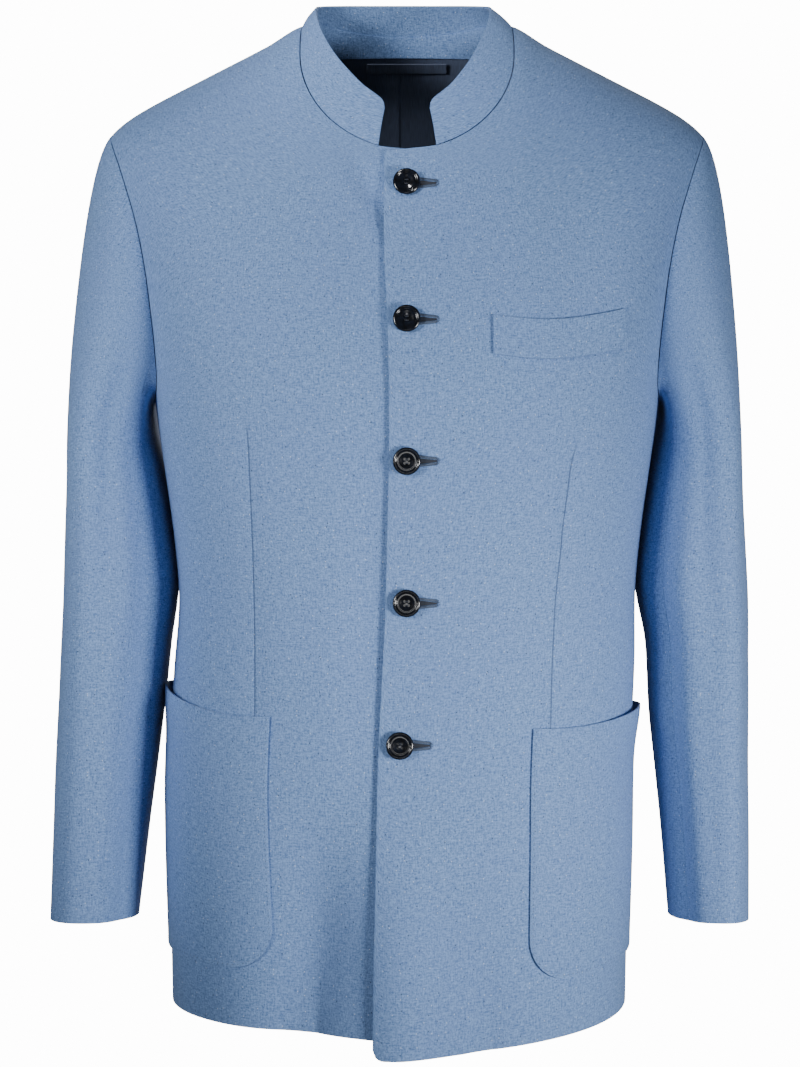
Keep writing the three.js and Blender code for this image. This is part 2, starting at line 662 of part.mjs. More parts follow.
// One of a sleeve's two pieces, between the front seam and the back seam
function sleeveSurface(side, upper) {
  const seam = degrees(SEAM_GAP / 2 / SLEEVE_RADIUS);
  return (across, level) => {
    const z = level > 1 ? lerp(BICEP_Z, CUFF_Z, level - 1) : lerp(SEAMS_TOP_Z, BICEP_Z, level);
    const front = read(SLEEVE_SEAMS, "z", side > 0 ? "leftFront" : "rightFront", z);
    const back = read(SLEEVE_SEAMS, "z", "back", z);
    const round = upper ? lerp(back - 360 + seam, front - seam, across) : lerp(front + seam, back - seam, across);
    return placed(sleevePoint(side, round, level), side);
  };
}

// Collar: a band that stands on the neckline, from one front end round the back to the other. Across is 0 and 2 at
// its ends and 1 at the middle of the back.
const COLLAR_ROWS = 4;
const ON_FRONT = shares(UPPER_ROWS * (1 - NECK_SHARE)).filter((share) => share > UNDER_COLLAR);
const ON_BACK = shares(UPPER_ROWS * (1 - BACK_NECK_SHARE));

function collarBase(side, across) {
  if (across < 0.5) return frontPoint(side, frontNeck(lerp(COLLAR_START, 1, across * 2)));
  return bodyPoint(backNeck(2 - across * 2));
}

function collarTop(side, across) {
  const at = (column) => read(COLLAR_TOP, "at", column, across);
  return vector(at("x") + COLLAR_TOP_SHIFT * ease(0, 0.35, across) * side, at("y"), at("z"));
}

function collarSurface(across, up) {
  const side = across > 1 ? -1 : 1;
  const onHalf = 1 - Math.abs(1 - across);
  const base = collarBase(side, onHalf);
  const inward = vector(-base.x, -base.y, 0).normalize();
  const near = clamp(1 - (onHalf * COLLAR_LENGTH) / COLLAR_CORNER, 0, 1);
  const cornerDrop = (COLLAR_CORNER / COLLAR_HEIGHT) * (1 - Math.sqrt(1 - near ** 2));
  const point = base.lerp(collarTop(side, onHalf), up * (1 - cornerDrop));
  point.addScaledVector(inward, COLLAR_CLEAR - COLLAR_BULGE * Math.sin(up * Math.PI));
  point.z += COLLAR_CLEAR;
  return placed(point, side);
}

// Patch pocket: laid on the front, with round lower corners
const POCKET_COLUMNS = 18;
const POCKET_ROWS = 7;

function pocketSurface(side, mouth) {
  const fromTurn = placeAt(FRONT_YOKE, POCKET_X, POCKET_LEVEL).turn;
  const toTurn = radians(POCKET_END_TURN);
  return (across, up) => {
    const turn = lerp(fromTurn, toTurn, across);
    const fromEdge = Math.min(across, 1 - across) * POCKET_WIDTH;
    const near = clamp(1 - fromEdge / POCKET_CORNER, 0, 1);
    const low = frontHemZ(side, turn) + POCKET_ABOVE_HEM + POCKET_CORNER * (1 - Math.sqrt(1 - near ** 2));
    const high = lerp(mouth.front, mouth.side, ease(0.1, 1, across));
    const step = stepOf(FRONT_YOKE, lerp(low, high, up));
    return placed(frontPoint(side, { yoke: FRONT_YOKE, turn, step }), side);
  };
}

const WELT_COLUMNS = 10;

function weltSurface(across, up) {
  const low = WELT.z + WELT.rise * across ** 2 - WELT.dip * Math.sin(across * Math.PI);
  const place = placeAt(FRONT_YOKE, lerp(WELT.from, WELT.to, across), low + WELT.height * up);
  return placed(frontPoint(1, place), 1);
}

// The upper back's lining, inside the neck opening, with a pleat down its middle. Across is 0 at the wearer's left
// end and 1 at the right end.
const LINING = { half: 112, low: -205, below: 1.5, clear: 1.5, underRidge: 7 };
const PLEAT = { x: -6, width: 4.5, depth: 2.6, columns: [0.47, 0.49, 0.505, 0.52, 0.54, 0.56, 0.58] };
const LINING_ROWS = 9;

// The point of the back's outer face that is seen at x and z, on either side of the middle
function backPoint(x, z) {
  const point = bodyPoint(placeAt(BACK_YOKE, Math.abs(x), z));
  point.x = x;
  return point;
}

function liningSurface(across, up) {
  const x = lerp(LINING.half, -LINING.half, across);
  const high = Math.min(backNeckZ(x) - LINING.below, ridgeZ(x) - LINING.underRidge);
  const point = backPoint(x, lerp(LINING.low, high, up));
  point.y -= PLEAT.depth * (1 - 0.8 * up ** 2) * Math.exp(-(((x - PLEAT.x) / PLEAT.width) ** 2));
  return point;
}

// The hanger loop, a narrow band sewn on at its ends
const LOOP = { half: 32, z: -22.5, height: 7, thickness: 1.2, clear: 0.9, bow: 1.8 };
const LOOP_COLUMNS = 12;

function loopSurface(across, up) {
  const point = backPoint(lerp(LOOP.half, -LOOP.half, across), LOOP.z + LOOP.height * up);
  point.y -= LOOP.bow * Math.sin(across * Math.PI);
  return point;
}

function buttonSolid(wasm) {
  const rim = BUTTON_RADIUS;
  const profile = [
    [0, 0],
    [1.6, 0],
    [1.6, 1.7],
    [5, 1.9],
    [rim - 1.2, 2.8],
    [rim, 3.9],
    [rim - 0.4, 5],
    [rim - 1.6, 5.5],
    [rim - 3, 4.9],
    [rim - 4.4, 4.3],
    [0, 4],
  ].map(([radius, y]) => new THREE.Vector2(radius, y));
  const lathe = new THREE.LatheGeometry(profile, BUTTON_SEGMENTS);
  let solid = solidOf(wasm, lathe);
  for (let k = 0; k < HOLES; k += 1) {
    const angle = radians(HOLE_TURN + (360 / HOLES) * k);
    const hole = new THREE.CylinderGeometry(HOLE_RADIUS, HOLE_RADIUS, rim, 8);
    hole.translate(HOLE_FROM_MIDDLE * Math.cos(angle), HOLE_FLOOR + rim / 2, HOLE_FROM_MIDDLE * Math.sin(angle));
    solid = solid.subtract(solidOf(wasm, hole));
  }
  return geometryOf(solid);
}

function solidOf(wasm, geometry) {
  const bare = geometry.clone();
  bare.deleteAttribute("normal");
  bare.deleteAttribute("uv");
  const merged = mergeVertices(bare, 1e-4);
  return new wasm.Manifold(
    new wasm.Mesh({
      numProp: 3,
      vertProperties: merged.attributes.position.array,
      triVerts: new Uint32Array(merged.index.array),
    }),
  );
}

function geometryOf(solid) {
  const mesh = solid.getMesh();
  const geometry = new THREE.BufferGeometry();
  geometry.setAttribute("position", new THREE.BufferAttribute(mesh.vertProperties, 3));
  geometry.setIndex(new THREE.BufferAttribute(mesh.triVerts, 1));
  return geometry;
}

for (const [name, side] of [
  ["left", 1],
  ["right", -1],
]) {
  add(`${name}_front`, wall(frontSurface(side), FRONT_COLUMNS, PANEL_ROWS, { side, ridge: true }), cloth);
  add(`${name}_back`, wall(backSurface(side), shares(BACK_COLUMNS), PANEL_ROWS, { side, ridge: true }), cloth);
  const sleeve = (upper, columns) => wall(sleeveSurface(side, upper), shares(columns), SLEEVE_LEVELS, { side });
  add(`${name}_upper_sleeve`, sleeve(true, UPPER_SLEEVE_COLUMNS), cloth);
  add(`${name}_under_sleeve`, sleeve(false, UNDER_SLEEVE_COLUMNS), cloth);
  const mouth = side > 0 ? LEFT_POCKET : RIGHT_POCKET;
  const laid = { side, raise: LAID_ON + CLOTH };
  add(`${name}_pocket`, wall(pocketSurface(side, mouth), shares(POCKET_COLUMNS), shares(POCKET_ROWS), laid), cloth);
}

const halfCollar = [
  0,
  0.008,
  0.024,
  ...ON_FRONT.map((share) => (neckAlong(share) - COLLAR_START) / (1 - COLLAR_START) / 2),
  ...ON_BACK.slice(0, -1).map((share) => 1 - share / 2).reverse(),
];
const collarColumns = [...halfCollar, ...halfCollar.slice(0, -1).map((share) => 2 - share).reverse()];
const standing = { thickness: COLLAR_CLOTH, upright: true };
add("collar", wall(collarSurface, collarColumns, shares(COLLAR_ROWS), standing), cloth);
add("breast_welt", wall(weltSurface, shares(WELT_COLUMNS), shares(2), { raise: LAID_ON + CLOTH }), cloth);
const liningColumns = [...new Set([...shares(14), ...PLEAT.columns])].sort((a, b) => a - b);
const liningIn = CLOTH + LINING.clear;
add(
  "back_lining",
  wall(liningSurface, liningColumns, shares(LINING_ROWS), { thickness: LINING_CLOTH, raise: -liningIn }),
  liningCloth,
);
add(
  "hanger_loop",
  wall(loopSurface, shares(LOOP_COLUMNS), [0, 1], {
    thickness: LOOP.thickness,
    raise: -liningIn - LINING_CLOTH - LOOP.clear,
  }),
  liningCloth,
);

const wasm = await Module();
wasm.setup();
const button = buttonSolid(wasm);
for (let k = 0; k < BUTTONS; k += 1) {
  const z = TOP_BUTTON_Z - BUTTON_SPACING * k;
  const at = placed(frontPoint(1, placeAt(FRONT_YOKE, BUTTON_X, z)), 1);
  const up = placed(frontPoint(1, placeAt(FRONT_YOKE, BUTTON_X, z + 4)), 1).sub(at).normalize();
  const out = vector(1, 0, 0).cross(up).normalize().sub(vector(0, 1, 0)).normalize(); // half turned to the front
  const mesh = add(`button_${k + 1}`, button.clone(), buttonHorn);
  mesh.position.copy(at.addScaledVector(out, BUTTON_CLEAR));
  mesh.quaternion.setFromUnitVectors(vector(0, 1, 0), out);
}

export default blazer;
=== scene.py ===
"""Dresses a packed stand-collar blazer: shell cloth, lining, buttons, sewing and the studio round it.

Sizes in the tables are millimetres. Side 1 is the wearer's left, at +X, and side -1 the right.
"""

import math
from collections import namedtuple

import bmesh
import bpy
import numpy as np
from mathutils import Matrix, Vector


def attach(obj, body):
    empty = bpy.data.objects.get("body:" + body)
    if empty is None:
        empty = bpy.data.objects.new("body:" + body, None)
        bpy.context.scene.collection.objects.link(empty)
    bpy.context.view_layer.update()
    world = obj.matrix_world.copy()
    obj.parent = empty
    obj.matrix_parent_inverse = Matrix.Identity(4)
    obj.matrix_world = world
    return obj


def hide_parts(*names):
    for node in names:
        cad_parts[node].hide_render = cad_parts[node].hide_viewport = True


bl_info = {
    "name": "Stand-collar blazer",
    "version": (1, 0, 0),
    "blender": (4, 5, 0),
    "location": "3D View > Sidebar > Blazer",
    "description": "Builds a buttoned stand-collar blazer from its cut, with its sewing and its studio",
    "category": "Object",
}

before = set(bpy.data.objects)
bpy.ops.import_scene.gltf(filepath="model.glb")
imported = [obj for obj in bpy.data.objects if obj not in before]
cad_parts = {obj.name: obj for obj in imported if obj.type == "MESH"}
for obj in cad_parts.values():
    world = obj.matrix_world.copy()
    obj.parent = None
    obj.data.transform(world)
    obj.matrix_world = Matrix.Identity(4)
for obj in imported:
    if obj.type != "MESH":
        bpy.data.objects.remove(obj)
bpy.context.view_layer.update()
MM = 0.001

# Driving sizes, as in the part's own source
SEAM_GAP = 0.3
CHEST_Z = -290
BLADE_Z = -215
HEM_SIDE_Z = -744
CUFF_Z = -681
BICEP_Z = -330
BODY_RADIUS = 150
SQUARENESS = 2.4
RIDGE_HALF = 262
RIDGE_Y = 4
SHOULDER_X = 226
NECK_X = 80.6
STEP_PER_MM = 1 / 330


def table(columns, *rows):
    """A table with named columns, its rows in rising order of the first column."""
    ordered = sorted(rows)
    return {name: np.array([row[k] for row in ordered], float) for k, name in enumerate(columns.split())}


SECTIONS = table(
    "z half front back",
    (-800, 172.5, 139, 139),
    (-700, 174.5, 138, 140),
    (-620, 176.3, 136, 138),
    (-550, 177, 132, 129),
    (-490, 176.5, 129, 117),
    (-437, 175, 128, 110),
    (-390, 179, 130, 112),
    (-340, 186, 134, 118),
    (-290, 193, 138, 124),
    (-215, 202, 138, 128),
)
RIDGE = table(
    "x z", (-80, 1), (0, 13), (80, 1), (108, -15), (153, -38.5),
    (194, -60), (213, -71.5), (226, -82.5), (250, -111),
)
# The armhole's rows, from the side seam up: turn round the body in degrees, and height
ARMHOLE_FRONT_ROWS = (
    (91, -290), (84, -288.3), (79, -283.5), (75.8, -275), (72.8, -252),
    (70.3, -224), (67.4, -190), (65.3, -157), (64, -128.5), (62.6, -106),
)
ARMHOLE_BACK_ROWS = (
    (91, -290), (98.5, -284), (104.3, -270), (109.4, -245), (111.7, -215),
    (113, -180), (115, -150), (115.8, -120), (117, -100),
)
LEFT_EDGE = table(
    "z x", (-800, -19), (-680, -17.5), (-560, -16), (-440, -16),
    (-330, -13.5), (-250, -14), (-180, -17), (-100, -17),
)
UNDERLAP = 17
RECESS = 3.2
RECESS_FROM = 22
RECESS_WIDTH = 38
SIDE_SEAM = table("z turn", (-800, 98), (-480, 98), (-370, 94), (-290, 91))
HEM_CORNER = 8
HEM_CURVE = 1.2
HEM_DROP = {1: 29, -1: 15.5}
BACK_HEM_DROP = 3
NECK_HALF = 82
NECK_MIDDLE_Z = -24
NECK_DROP = 79
COLLAR_END_X = 22
NECK_EDGE_SLOPE = 0.12
BACK_NECK_Z = -13
COLLAR_TOP = table(
    "at x y z",
    (0, 16, -59, -66),
    (0.036, 23.3, -58, -60.4),
    (0.088, 33.2, -55, -52.5),
    (0.149, 42.5, -49, -41.8),
    (0.214, 50.8, -41, -30.5),
    (0.27, 56.6, -33, -20.5),
    (0.351, 63.3, -20, -6),
    (0.419, 67, -8, 6),
    (0.492, 68.1, 8, 15),
    (0.585, 65, 25, 19),
    (0.727, 48, 44, 22.4),
    (0.865, 25, 53, 23.8),
    (1, 0, 56, 24.3),
)
COLLAR_TOP_SHIFT = -3
COLLAR_HEIGHT = 38
COLLAR_LENGTH = 250
COLLAR_CORNER = 6
COLLAR_BULGE = 1.2
COLLAR_CLEAR = 0.75
COLLAR_START = 0.2
UNDER_COLLAR = 0.25
NECK_CROWDING = 1.15
SLEEVE = table(
    "z leftOuter leftInner rightOuter rightInner front back",
    (-330, 256, 192, 260.5, 192.5, -68, 85),
    (-380, 258.5, 184.5, 262, 184.5, -70, 78),
    (-430, 260.8, 179.5, 263, 179, -72, 70),
    (-476, 262, 186.5, 263.2, 181.5, -74, 63),
    (-523, 264, 191, 262, 183.6, -76, 56),
    (-570, 264.8, 197.5, 261.2, 187, -78, 49),
    (-610, 264.6, 201.5, 261.4, 191.7, -80, 42),
    (-681, 263.7, 206.7, 263, 199.5, -84, 28),
)
SLEEVE_RADIUS = 40
SLEEVE_SQUARENESS = 2.15
SLEEVE_SKEW = 0.1
SLEEVE_HEAD = table(
    "round outward backward upward fall",
    (0, 60, 0, -60, 240),
    (45, 56, -26, -46, 190),
    (90, 44, -24, -16, 115),
    (135, 22, -12, 2, 62),
    (180, 14, 2, 5, 44),
    (225, 22, 14, 2, 62),
    (270, 44, 30, -16, 115),
    (315, 56, 28, -46, 190),
    (360, 60, 0, -60, 240),
)
SLEEVE_SEAMS = table(
    "z leftFront rightFront back",
    (-700, 143, 109, 268),
    (-574, 146, 113, 262),
    (-483, 146, 118.5, 256),
    (-420, 144, 123, 250.5),
    (-392, 143, 130, 248),
    (-330, 141, 141, 240),
    (-250, 135, 135, 236.25),
)
SEAMS_TOP_Z = -250
POCKET_X = 96
POCKET_WIDTH = 172
POCKET_LEVEL = -620
POCKET_END_TURN = 95.5
POCKET_ABOVE_HEM = 43
POCKET_CORNER = 34
POCKET_MOUTH = {1: (-534, -520), -1: (-525, -504)}
WELT_FROM = 62.5
WELT_TO = 161.5
WELT_Z = -259.5
WELT_RISE = 7
WELT_HEIGHT = 29
WELT_DIP = 4.5
BUTTONS = 5
TOP_BUTTON_Z = -130
BUTTON_SPACING = 103.8
BUTTON_X = -0.5
BUTTON_CLEAR = 0.5
LINING_HALF = 112
LINING_LOW = -205
LINING_CLEAR = 1.5
LINING_CLOTH = 1
LOOP_HALF = 32
LOOP_Z = -22.5
LOOP_HEIGHT = 7
LOOP_CLEAR = 0.9
LOOP_BOW = 1.8

# Sizes of the finer form that this script adds
CLOTH_MM = 2
LAID_ON = 0.5
COLLAR_THICK = 2.6
SEWN_GAP = 0.04
POCKET_GAPE = 3.4
POCKET_PUFF = 1.2
POCKET_BORDER = 0.35
POCKET_BORDER_WIDTH = 2
WELT_GAPE = 0.9
FACING_COLUMNS = (80, 201)
FACING_ROW = 7
FACING_CLEAR = 0.3
FACING_LOW_Z = -15.2
FACING_SAG = 3
FACING_DEPTH = 6
FACING_BOW = 5
FACING_UNDER_RIDGE = 9
LINING_UNDER_FACING = 2
LINING_RISE = 2.2
LINING_UNDER_RIDGE = 7
LINING_TUCK = 0.9
PLEAT_X = -6
PLEAT_DEPTH = 4.2
PLEAT_EDGE = 0.8
PLEAT_WIDTH = 20
SLACK_DEPTH = 1.6
# Slack folds of the lining: where they start across, how far they lean, width and share of the depth
SLACK_FOLDS = ((34, -18, 9, 1), (-44, 22, 8, 0.8))
# Stitches round a patch pocket: which column and row they follow, their spacing, length and width
PICK_COLUMN = 4
PICK_ROW = 1
PICK_SPACING = 4.5
PICK_LENGTH = 1.5
PICK_WIDTH = 0.45
# A buttonhole, from its hidden end under the button to its tip: places across, half its height at each
HOLE_START = 3
HOLE_TIP = 21.6
HOLE_HALF = (2.7, 0.75)
HOLE_EDGE = 2.4
HOLE_STITCHES = 96
HOLE_STITCH_WIDTH = 0.62
HOLE_INNER_HEIGHT = 0.8
HOLE_OUTER_HEIGHT = 0.45
# Height of the dark sheet over a buttonhole's slit, which is painted shade
SLIT_SHADE_HEIGHT = 0.4
# A button's outline on the lathe, radius and height, from its shank over the rim to its face
BUTTON_OUTLINE = (
    (0, 0), (1.6, 0), (1.6, 1.7), (5, 1.9), (9, 2.8), (10, 3.6), (10.2, 4.1), (9.9, 4.9), (9.2, 5.4),
    (8.5, 5.45), (7.9, 5.1), (7.4, 4.5), (6.9, 4.35), (6.2, 4.55), (5.2, 4.35), (4, 3.98), (2.7, 3.72),
    (1.3, 3.56), (0, 3.5),
)
BUTTON_HOLES = 4
BUTTON_HOLE_OUT = 2.1
BUTTON_HOLE_RADIUS = 0.95
DRILL_HEIGHT = 5.6
DRILL_LENGTH = 6
BUTTON_THREAD_HEIGHT = 3.7
BUTTON_THREAD_LENGTH = 3.6
BUTTON_THREAD_WIDTH = 0.75
BUTTON_THREADS_UP = (-1.5, 1.5)

# Columns and rows of the fine grids
FRONT_COLUMNS = 150
BACK_COLUMNS = 70
LOWER_ROWS = 120
UPPER_ROWS = 128
SLEEVE_HEAD_ROWS = 90
SLEEVE_ROWS = 110
UPPER_SLEEVE_COLUMNS = 100
UNDER_SLEEVE_COLUMNS = 56
COLLAR_COLUMNS = 281
COLLAR_ROWS = 21
# A dart's groove and the hollow beside it, half width and depth, and half the width of the shade painted
# along its groove
DART_GROOVE = (0.7, 0.55)
DART_HOLLOW = (9, 0.9)
DART_SHADE_HALF_WIDTH = 0.42
# Places of the columns beside a dart
DART_COLUMNS = np.array([-12, -8, -5, -3, -2, -1.4, -0.9, -0.45, 0, 0.45, 0.9, 1.4, 2, 3, 5, 8, 12]) / 320
DART_COLUMNS_APART = 0.0025

# Soft folds of the body: side, where they run across, how they lean, from and to in height, width and depth
BODY_FOLDS = (
    (-1, 52, -0.1, -530, -830, 28, -15),
    (-1, 0, 0, -570, -830, 30, 12),
    (1, 0, 0, -570, -830, 30, 13),
    (1, 66, 0.05, -660, -830, 17, -2),
    (1, 34, 0, -690, -830, 18, 1.2),
    (1, 128, 0, -60, -300, 30, -4.5),
    (-1, 60, 0.25, -110, -300, 24, -2),
    (-1, 52, 0.5, -86, -200, 9, -4.2),
    (-1, 28, 0, -150, -620, 15, -1.6),
    (-1, 150, 0.1, -300, -560, 20, -1.5),
    (1, 70, 0.05, -700, -830, 6, -0.9),
    (1, 52, 0.08, -690, -830, 5, 0.8),
    (-1, 92, 0.03, -690, -830, 5, -0.9),
    (-1, 64, -0.04, -700, -830, 5, -1),
    (-1, 74, 0, -705, -830, 5, 0.8),
)
# Those of a sleeve: side (0 for both), angle round it, its turn per mm, from and to, width in degrees, depth
SLEEVE_FOLDS = (
    (0, 112, -0.1, -235, -520, 13, -4),
    (0, 66, 0.02, -190, -700, 26, 3),
    (0, 24, 0.03, -240, -640, 22, -2.2),
    (0, 300, 0.04, -230, -560, 24, -2.4),
    (-1, 138, 0.02, -330, -760, 15, -5),
    (1, 142, 0, -330, -760, 15, -5),
    (-1, 96, 0.05, -380, -760, 12, 1.6),
    (1, 120, 0.02, -330, -760, 14, 2),
    (1, 92, 0.02, -380, -760, 12, -1.6),
    (1, 62, 0.01, -200, -760, 9, 1.5),
    (0, 250, -0.05, -420, -560, 11, -2.6),
    (0, 225, 0.08, -440, -540, 9, 2.2),
    (1, 180, 0, -290, -475, 30, 4),
    (-1, 180, 0, -290, -475, 30, 3),
)
# The front darts, sewn from the chest to under the pocket's mouth
DARTS = {
    1: table(
        "z x", (-323, 125.6), (-341, 121.3), (-363, 118.4), (-386, 115.3),
        (-407, 113.5), (-440, 110), (-483, 109.3), (-532, 110.6),
    ),
    -1: table("z x", (-310, 118.6), (-355, 116.6), (-404, 114.8), (-454, 113.2), (-521, 109.4)),
}
DART_SHARE = 0.45


def lerp(start, end, share):
    return start + (end - start) * share


def ease(start, end, value):
    share = np.clip((value - start) / (end - start), 0, 1)
    return share * share * (3 - 2 * share)


def unit(vectors):
    return vectors / np.linalg.norm(vectors, axis=-1, keepdims=True)


def read(rows, column, at):
    """A column of a table at places between its rows, on a smooth curve through them."""
    keys = rows[next(iter(rows))]
    values = rows[column]
    order = np.arange(len(keys))
    low = np.maximum(order - 1, 0)
    high = np.minimum(order + 1, len(keys) - 1)
    slopes = (values[high] - values[low]) / (keys[high] - keys[low])
    place = np.clip(at, keys[0], keys[-1])
    k = np.clip(np.searchsorted(keys, place) - 1, 0, len(keys) - 2)
    span = keys[k + 1] - keys[k]
    t = (place - keys[k]) / span
    return (
        (2 * t**3 - 3 * t**2 + 1) * values[k]
        + (t**3 - 2 * t**2 + t) * span * slopes[k]
        + (3 * t**2 - 2 * t**3) * values[k + 1]
        + (t**3 - t**2) * span * slopes[k + 1]
    )


def bulge(share, squareness):
    """How far a rounded section reaches to one side where it reaches share of its half width across."""
    return np.maximum(0, 1 - np.abs(share) ** squareness) ** (1 / squareness)


def ridge_z(x):
    return read(RIDGE, "z", np.abs(x))


def lean(z):
    """The whole jacket hangs a little to the wearer's right below the waist."""
    return -6.2 * ease(-430, -590, z)


def placed(points, side):
    out = points.copy()
    out[..., 0] = points[..., 0] * side + lean(points[..., 2])
    return out


# A place on the body has a yoke, a turn from the front's middle and a step up from the yoke's base
Yoke = namedtuple("Yoke", "base half spread depth middle tip")
FRONT = Yoke(CHEST_Z, 193, 30, -138, 1.3, 2)
BACK = Yoke(BLADE_Z, 202, 24, 128, 2.2, 2)


def yoke_half(yoke, share):
    return yoke.half + yoke.spread * share + (RIDGE_HALF - yoke.half - yoke.spread) * share**2


def body_fold(side, x, z):
    depth = np.zeros(np.broadcast(x, z).shape)
    for fold_side, at, slant, top, low, width, deep in BODY_FOLDS:
        middle = at + slant * (z - top)
        along = ease(top, top + (low - top) * 0.6, z)
        fade = 1 if low < -800 else 1 - ease(top + (low - top) * 0.6, low, z)
        depth += (side == fold_side) * deep * along * fade * np.exp(-(((x - middle) / width) ** 2))
    return depth


def body_point(yoke, turn, step, side=0):
    turn, step = np.broadcast_arrays(np.asarray(turn, float), np.asarray(step, float))
    across = np.sin(turn)
    z = yoke.base + np.minimum(step, 0) / STEP_PER_MM
    depth = np.where(np.cos(turn) >= 0, -read(SECTIONS, "front", z), read(SECTIONS, "back", z))
    low = np.stack([read(SECTIONS, "half", z) * across, depth * bulge(across, SQUARENESS), z], -1)
    share = np.sin(np.clip(step, 0, 1) * math.pi / 2)
    x = yoke_half(yoke, share) * across
    off = np.abs(np.degrees(np.arcsin(np.clip(across, -1, 1))))
    slope = bulge(share, lerp(yoke.middle, yoke.tip, ease(0, 60, off)))
    y = yoke.depth * bulge(across, SQUARENESS) * slope + RIDGE_Y * (1 - slope)
    high = np.stack([x, y, yoke.base + (ridge_z(x) - yoke.base) * share], -1)
    point = np.where((step <= 0)[..., None], low, high)
    fold = body_fold(side, point[..., 0], point[..., 2])
    point[..., 0] += fold * across
    point[..., 1] -= fold * np.cos(turn)
    return point


def step_at(yoke, x, z):
    rise = np.clip((z - yoke.base) / (ridge_z(x) - yoke.base), 0, 1)
    return np.where(z <= yoke.base, (z - yoke.base) * STEP_PER_MM, 2 / math.pi * np.arcsin(rise))


def place_at(yoke, x, z):
    """The place on the front or the back that is seen at x and z."""
    share = np.clip((z - yoke.base) / (ridge_z(x) - yoke.base), 0, 1)
    half = np.where(z <= yoke.base, read(SECTIONS, "half", z), yoke_half(yoke, share))
    turn = np.arcsin(np.clip(x / half, -1, 1))
    return (turn if yoke is FRONT else math.pi - turn), step_at(yoke, x, z)


def place_turned(yoke, turn, z):
    x = yoke.half * np.sin(turn)
    for _ in range(12):
        share = np.clip((z - yoke.base) / (ridge_z(x) - yoke.base), 0, 1)
        x = yoke_half(yoke, share) * np.sin(turn)
    return turn, step_at(yoke, x, z)


def curve_on_body(yoke, turns, steps):
    """A curve through places, read by the share of its length on the body."""
    points = body_point(yoke, turns, steps)
    lengths = np.concatenate([[0], np.cumsum(np.linalg.norm(np.diff(points, axis=0), axis=1))])
    rows = table("along turn step", *zip(lengths / lengths[-1], turns, steps))
    return lambda along: (read(rows, "turn", along), read(rows, "step", along))


def armhole_curve(rows, yoke):
    turns, heights = np.array(rows, float).T
    turns, steps = place_turned(yoke, np.radians(turns), heights)
    tip, _ = place_at(yoke, SHOULDER_X, ridge_z(SHOULDER_X))
    return curve_on_body(yoke, np.append(turns, tip), np.append(steps, 1))


def neck_z(x):
    """The front neckline's height across."""
    end = NECK_MIDDLE_Z - NECK_DROP * math.sqrt(1 - (COLLAR_END_X / NECK_HALF) ** 2)
    curve = NECK_MIDDLE_Z - NECK_DROP * np.sqrt(np.maximum(0, 1 - (x / NECK_HALF) ** 2))
    return np.where(x < COLLAR_END_X, end - (COLLAR_END_X - x) * NECK_EDGE_SLOPE, curve)


def front_neck_curve():
    first = math.asin(COLLAR_END_X / NECK_HALF)
    straight = [-UNDERLAP, (COLLAR_END_X - UNDERLAP) / 2]
    xs = np.concatenate([straight, NECK_HALF * np.sin(np.linspace(first, math.pi / 2, 10))])
    turns, steps = place_at(FRONT, xs, neck_z(xs))
    top, _ = place_at(FRONT, NECK_X, ridge_z(NECK_X))
    turns = np.append(turns, [lerp(turns[-1], top, 0.6), top])
    steps = np.append(steps, [lerp(steps[-1], 1, 0.55), 1])
    return curve_on_body(FRONT, turns, steps)


def back_neck_z(x):
    return lerp(BACK_NECK_Z, ridge_z(NECK_X) - 0.6, np.minimum(1, (x / NECK_X) ** 2))


def back_neck_curve():
    xs = np.maximum(NECK_X * np.sin(np.arange(8) / 8 * math.pi / 2), SEAM_GAP / 2)
    turns, steps = place_at(BACK, xs, back_neck_z(xs))
    top, _ = place_at(BACK, NECK_X, ridge_z(NECK_X))
    return curve_on_body(BACK, np.append(turns, top), np.append(steps, 1))


armhole_front = armhole_curve(ARMHOLE_FRONT_ROWS, FRONT)
armhole_back = armhole_curve(ARMHOLE_BACK_ROWS, BACK)
front_neck = front_neck_curve()
back_neck = back_neck_curve()
SEAM_TURN = SEWN_GAP / 2 / BODY_RADIUS
MIDDLE_BACK = math.pi - SEAM_TURN
FRONT_NECK_SHARE = 0.5
BACK_NECK_SHARE = 0.625


def side_turn(z):
    return np.radians(read(SIDE_SEAM, "turn", z))


def front_edge_x(side, z):
    return read(LEFT_EDGE, "x", z) if side > 0 else np.full(np.shape(z), -float(UNDERLAP))


def front_hem_z(side, turn):
    off = np.maximum(np.degrees(turn), 0) / 90
    return HEM_SIDE_Z - HEM_DROP[side] * np.clip(1 - off**HEM_CURVE, 0, 1)


def front_point(side, turn, step):
    """A point of a front. Near the middle the right one lies deeper, under the left one."""
    point = body_point(FRONT, turn, step, side)
    sunk = (side < 0) * RECESS * (1 - ease(RECESS_FROM, RECESS_FROM + RECESS_WIDTH, point[..., 0]))
    point[..., 0] -= sunk * np.sin(turn)
    point[..., 1] += sunk * np.cos(turn)
    return point


def corner_rise(x, z):
    near = np.clip(1 - (x - front_edge_x(1, np.float64(HEM_SIDE_Z))) / HEM_CORNER, 0, 1)
    return HEM_CORNER * (1 - np.sqrt(1 - near**2)) * (1 - ease(HEM_SIDE_Z, HEM_SIDE_Z + HEM_CORNER * 6, z))


def neck_along(share):
    """Where a share of the neckline's rows lies along it, with one row at the collar's end."""
    beyond = np.maximum(share - UNDER_COLLAR, 0) / (1 - UNDER_COLLAR)
    under = share / UNDER_COLLAR * COLLAR_START
    return np.where(share < UNDER_COLLAR, under, lerp(COLLAR_START, 1, beyond**NECK_CROWDING))


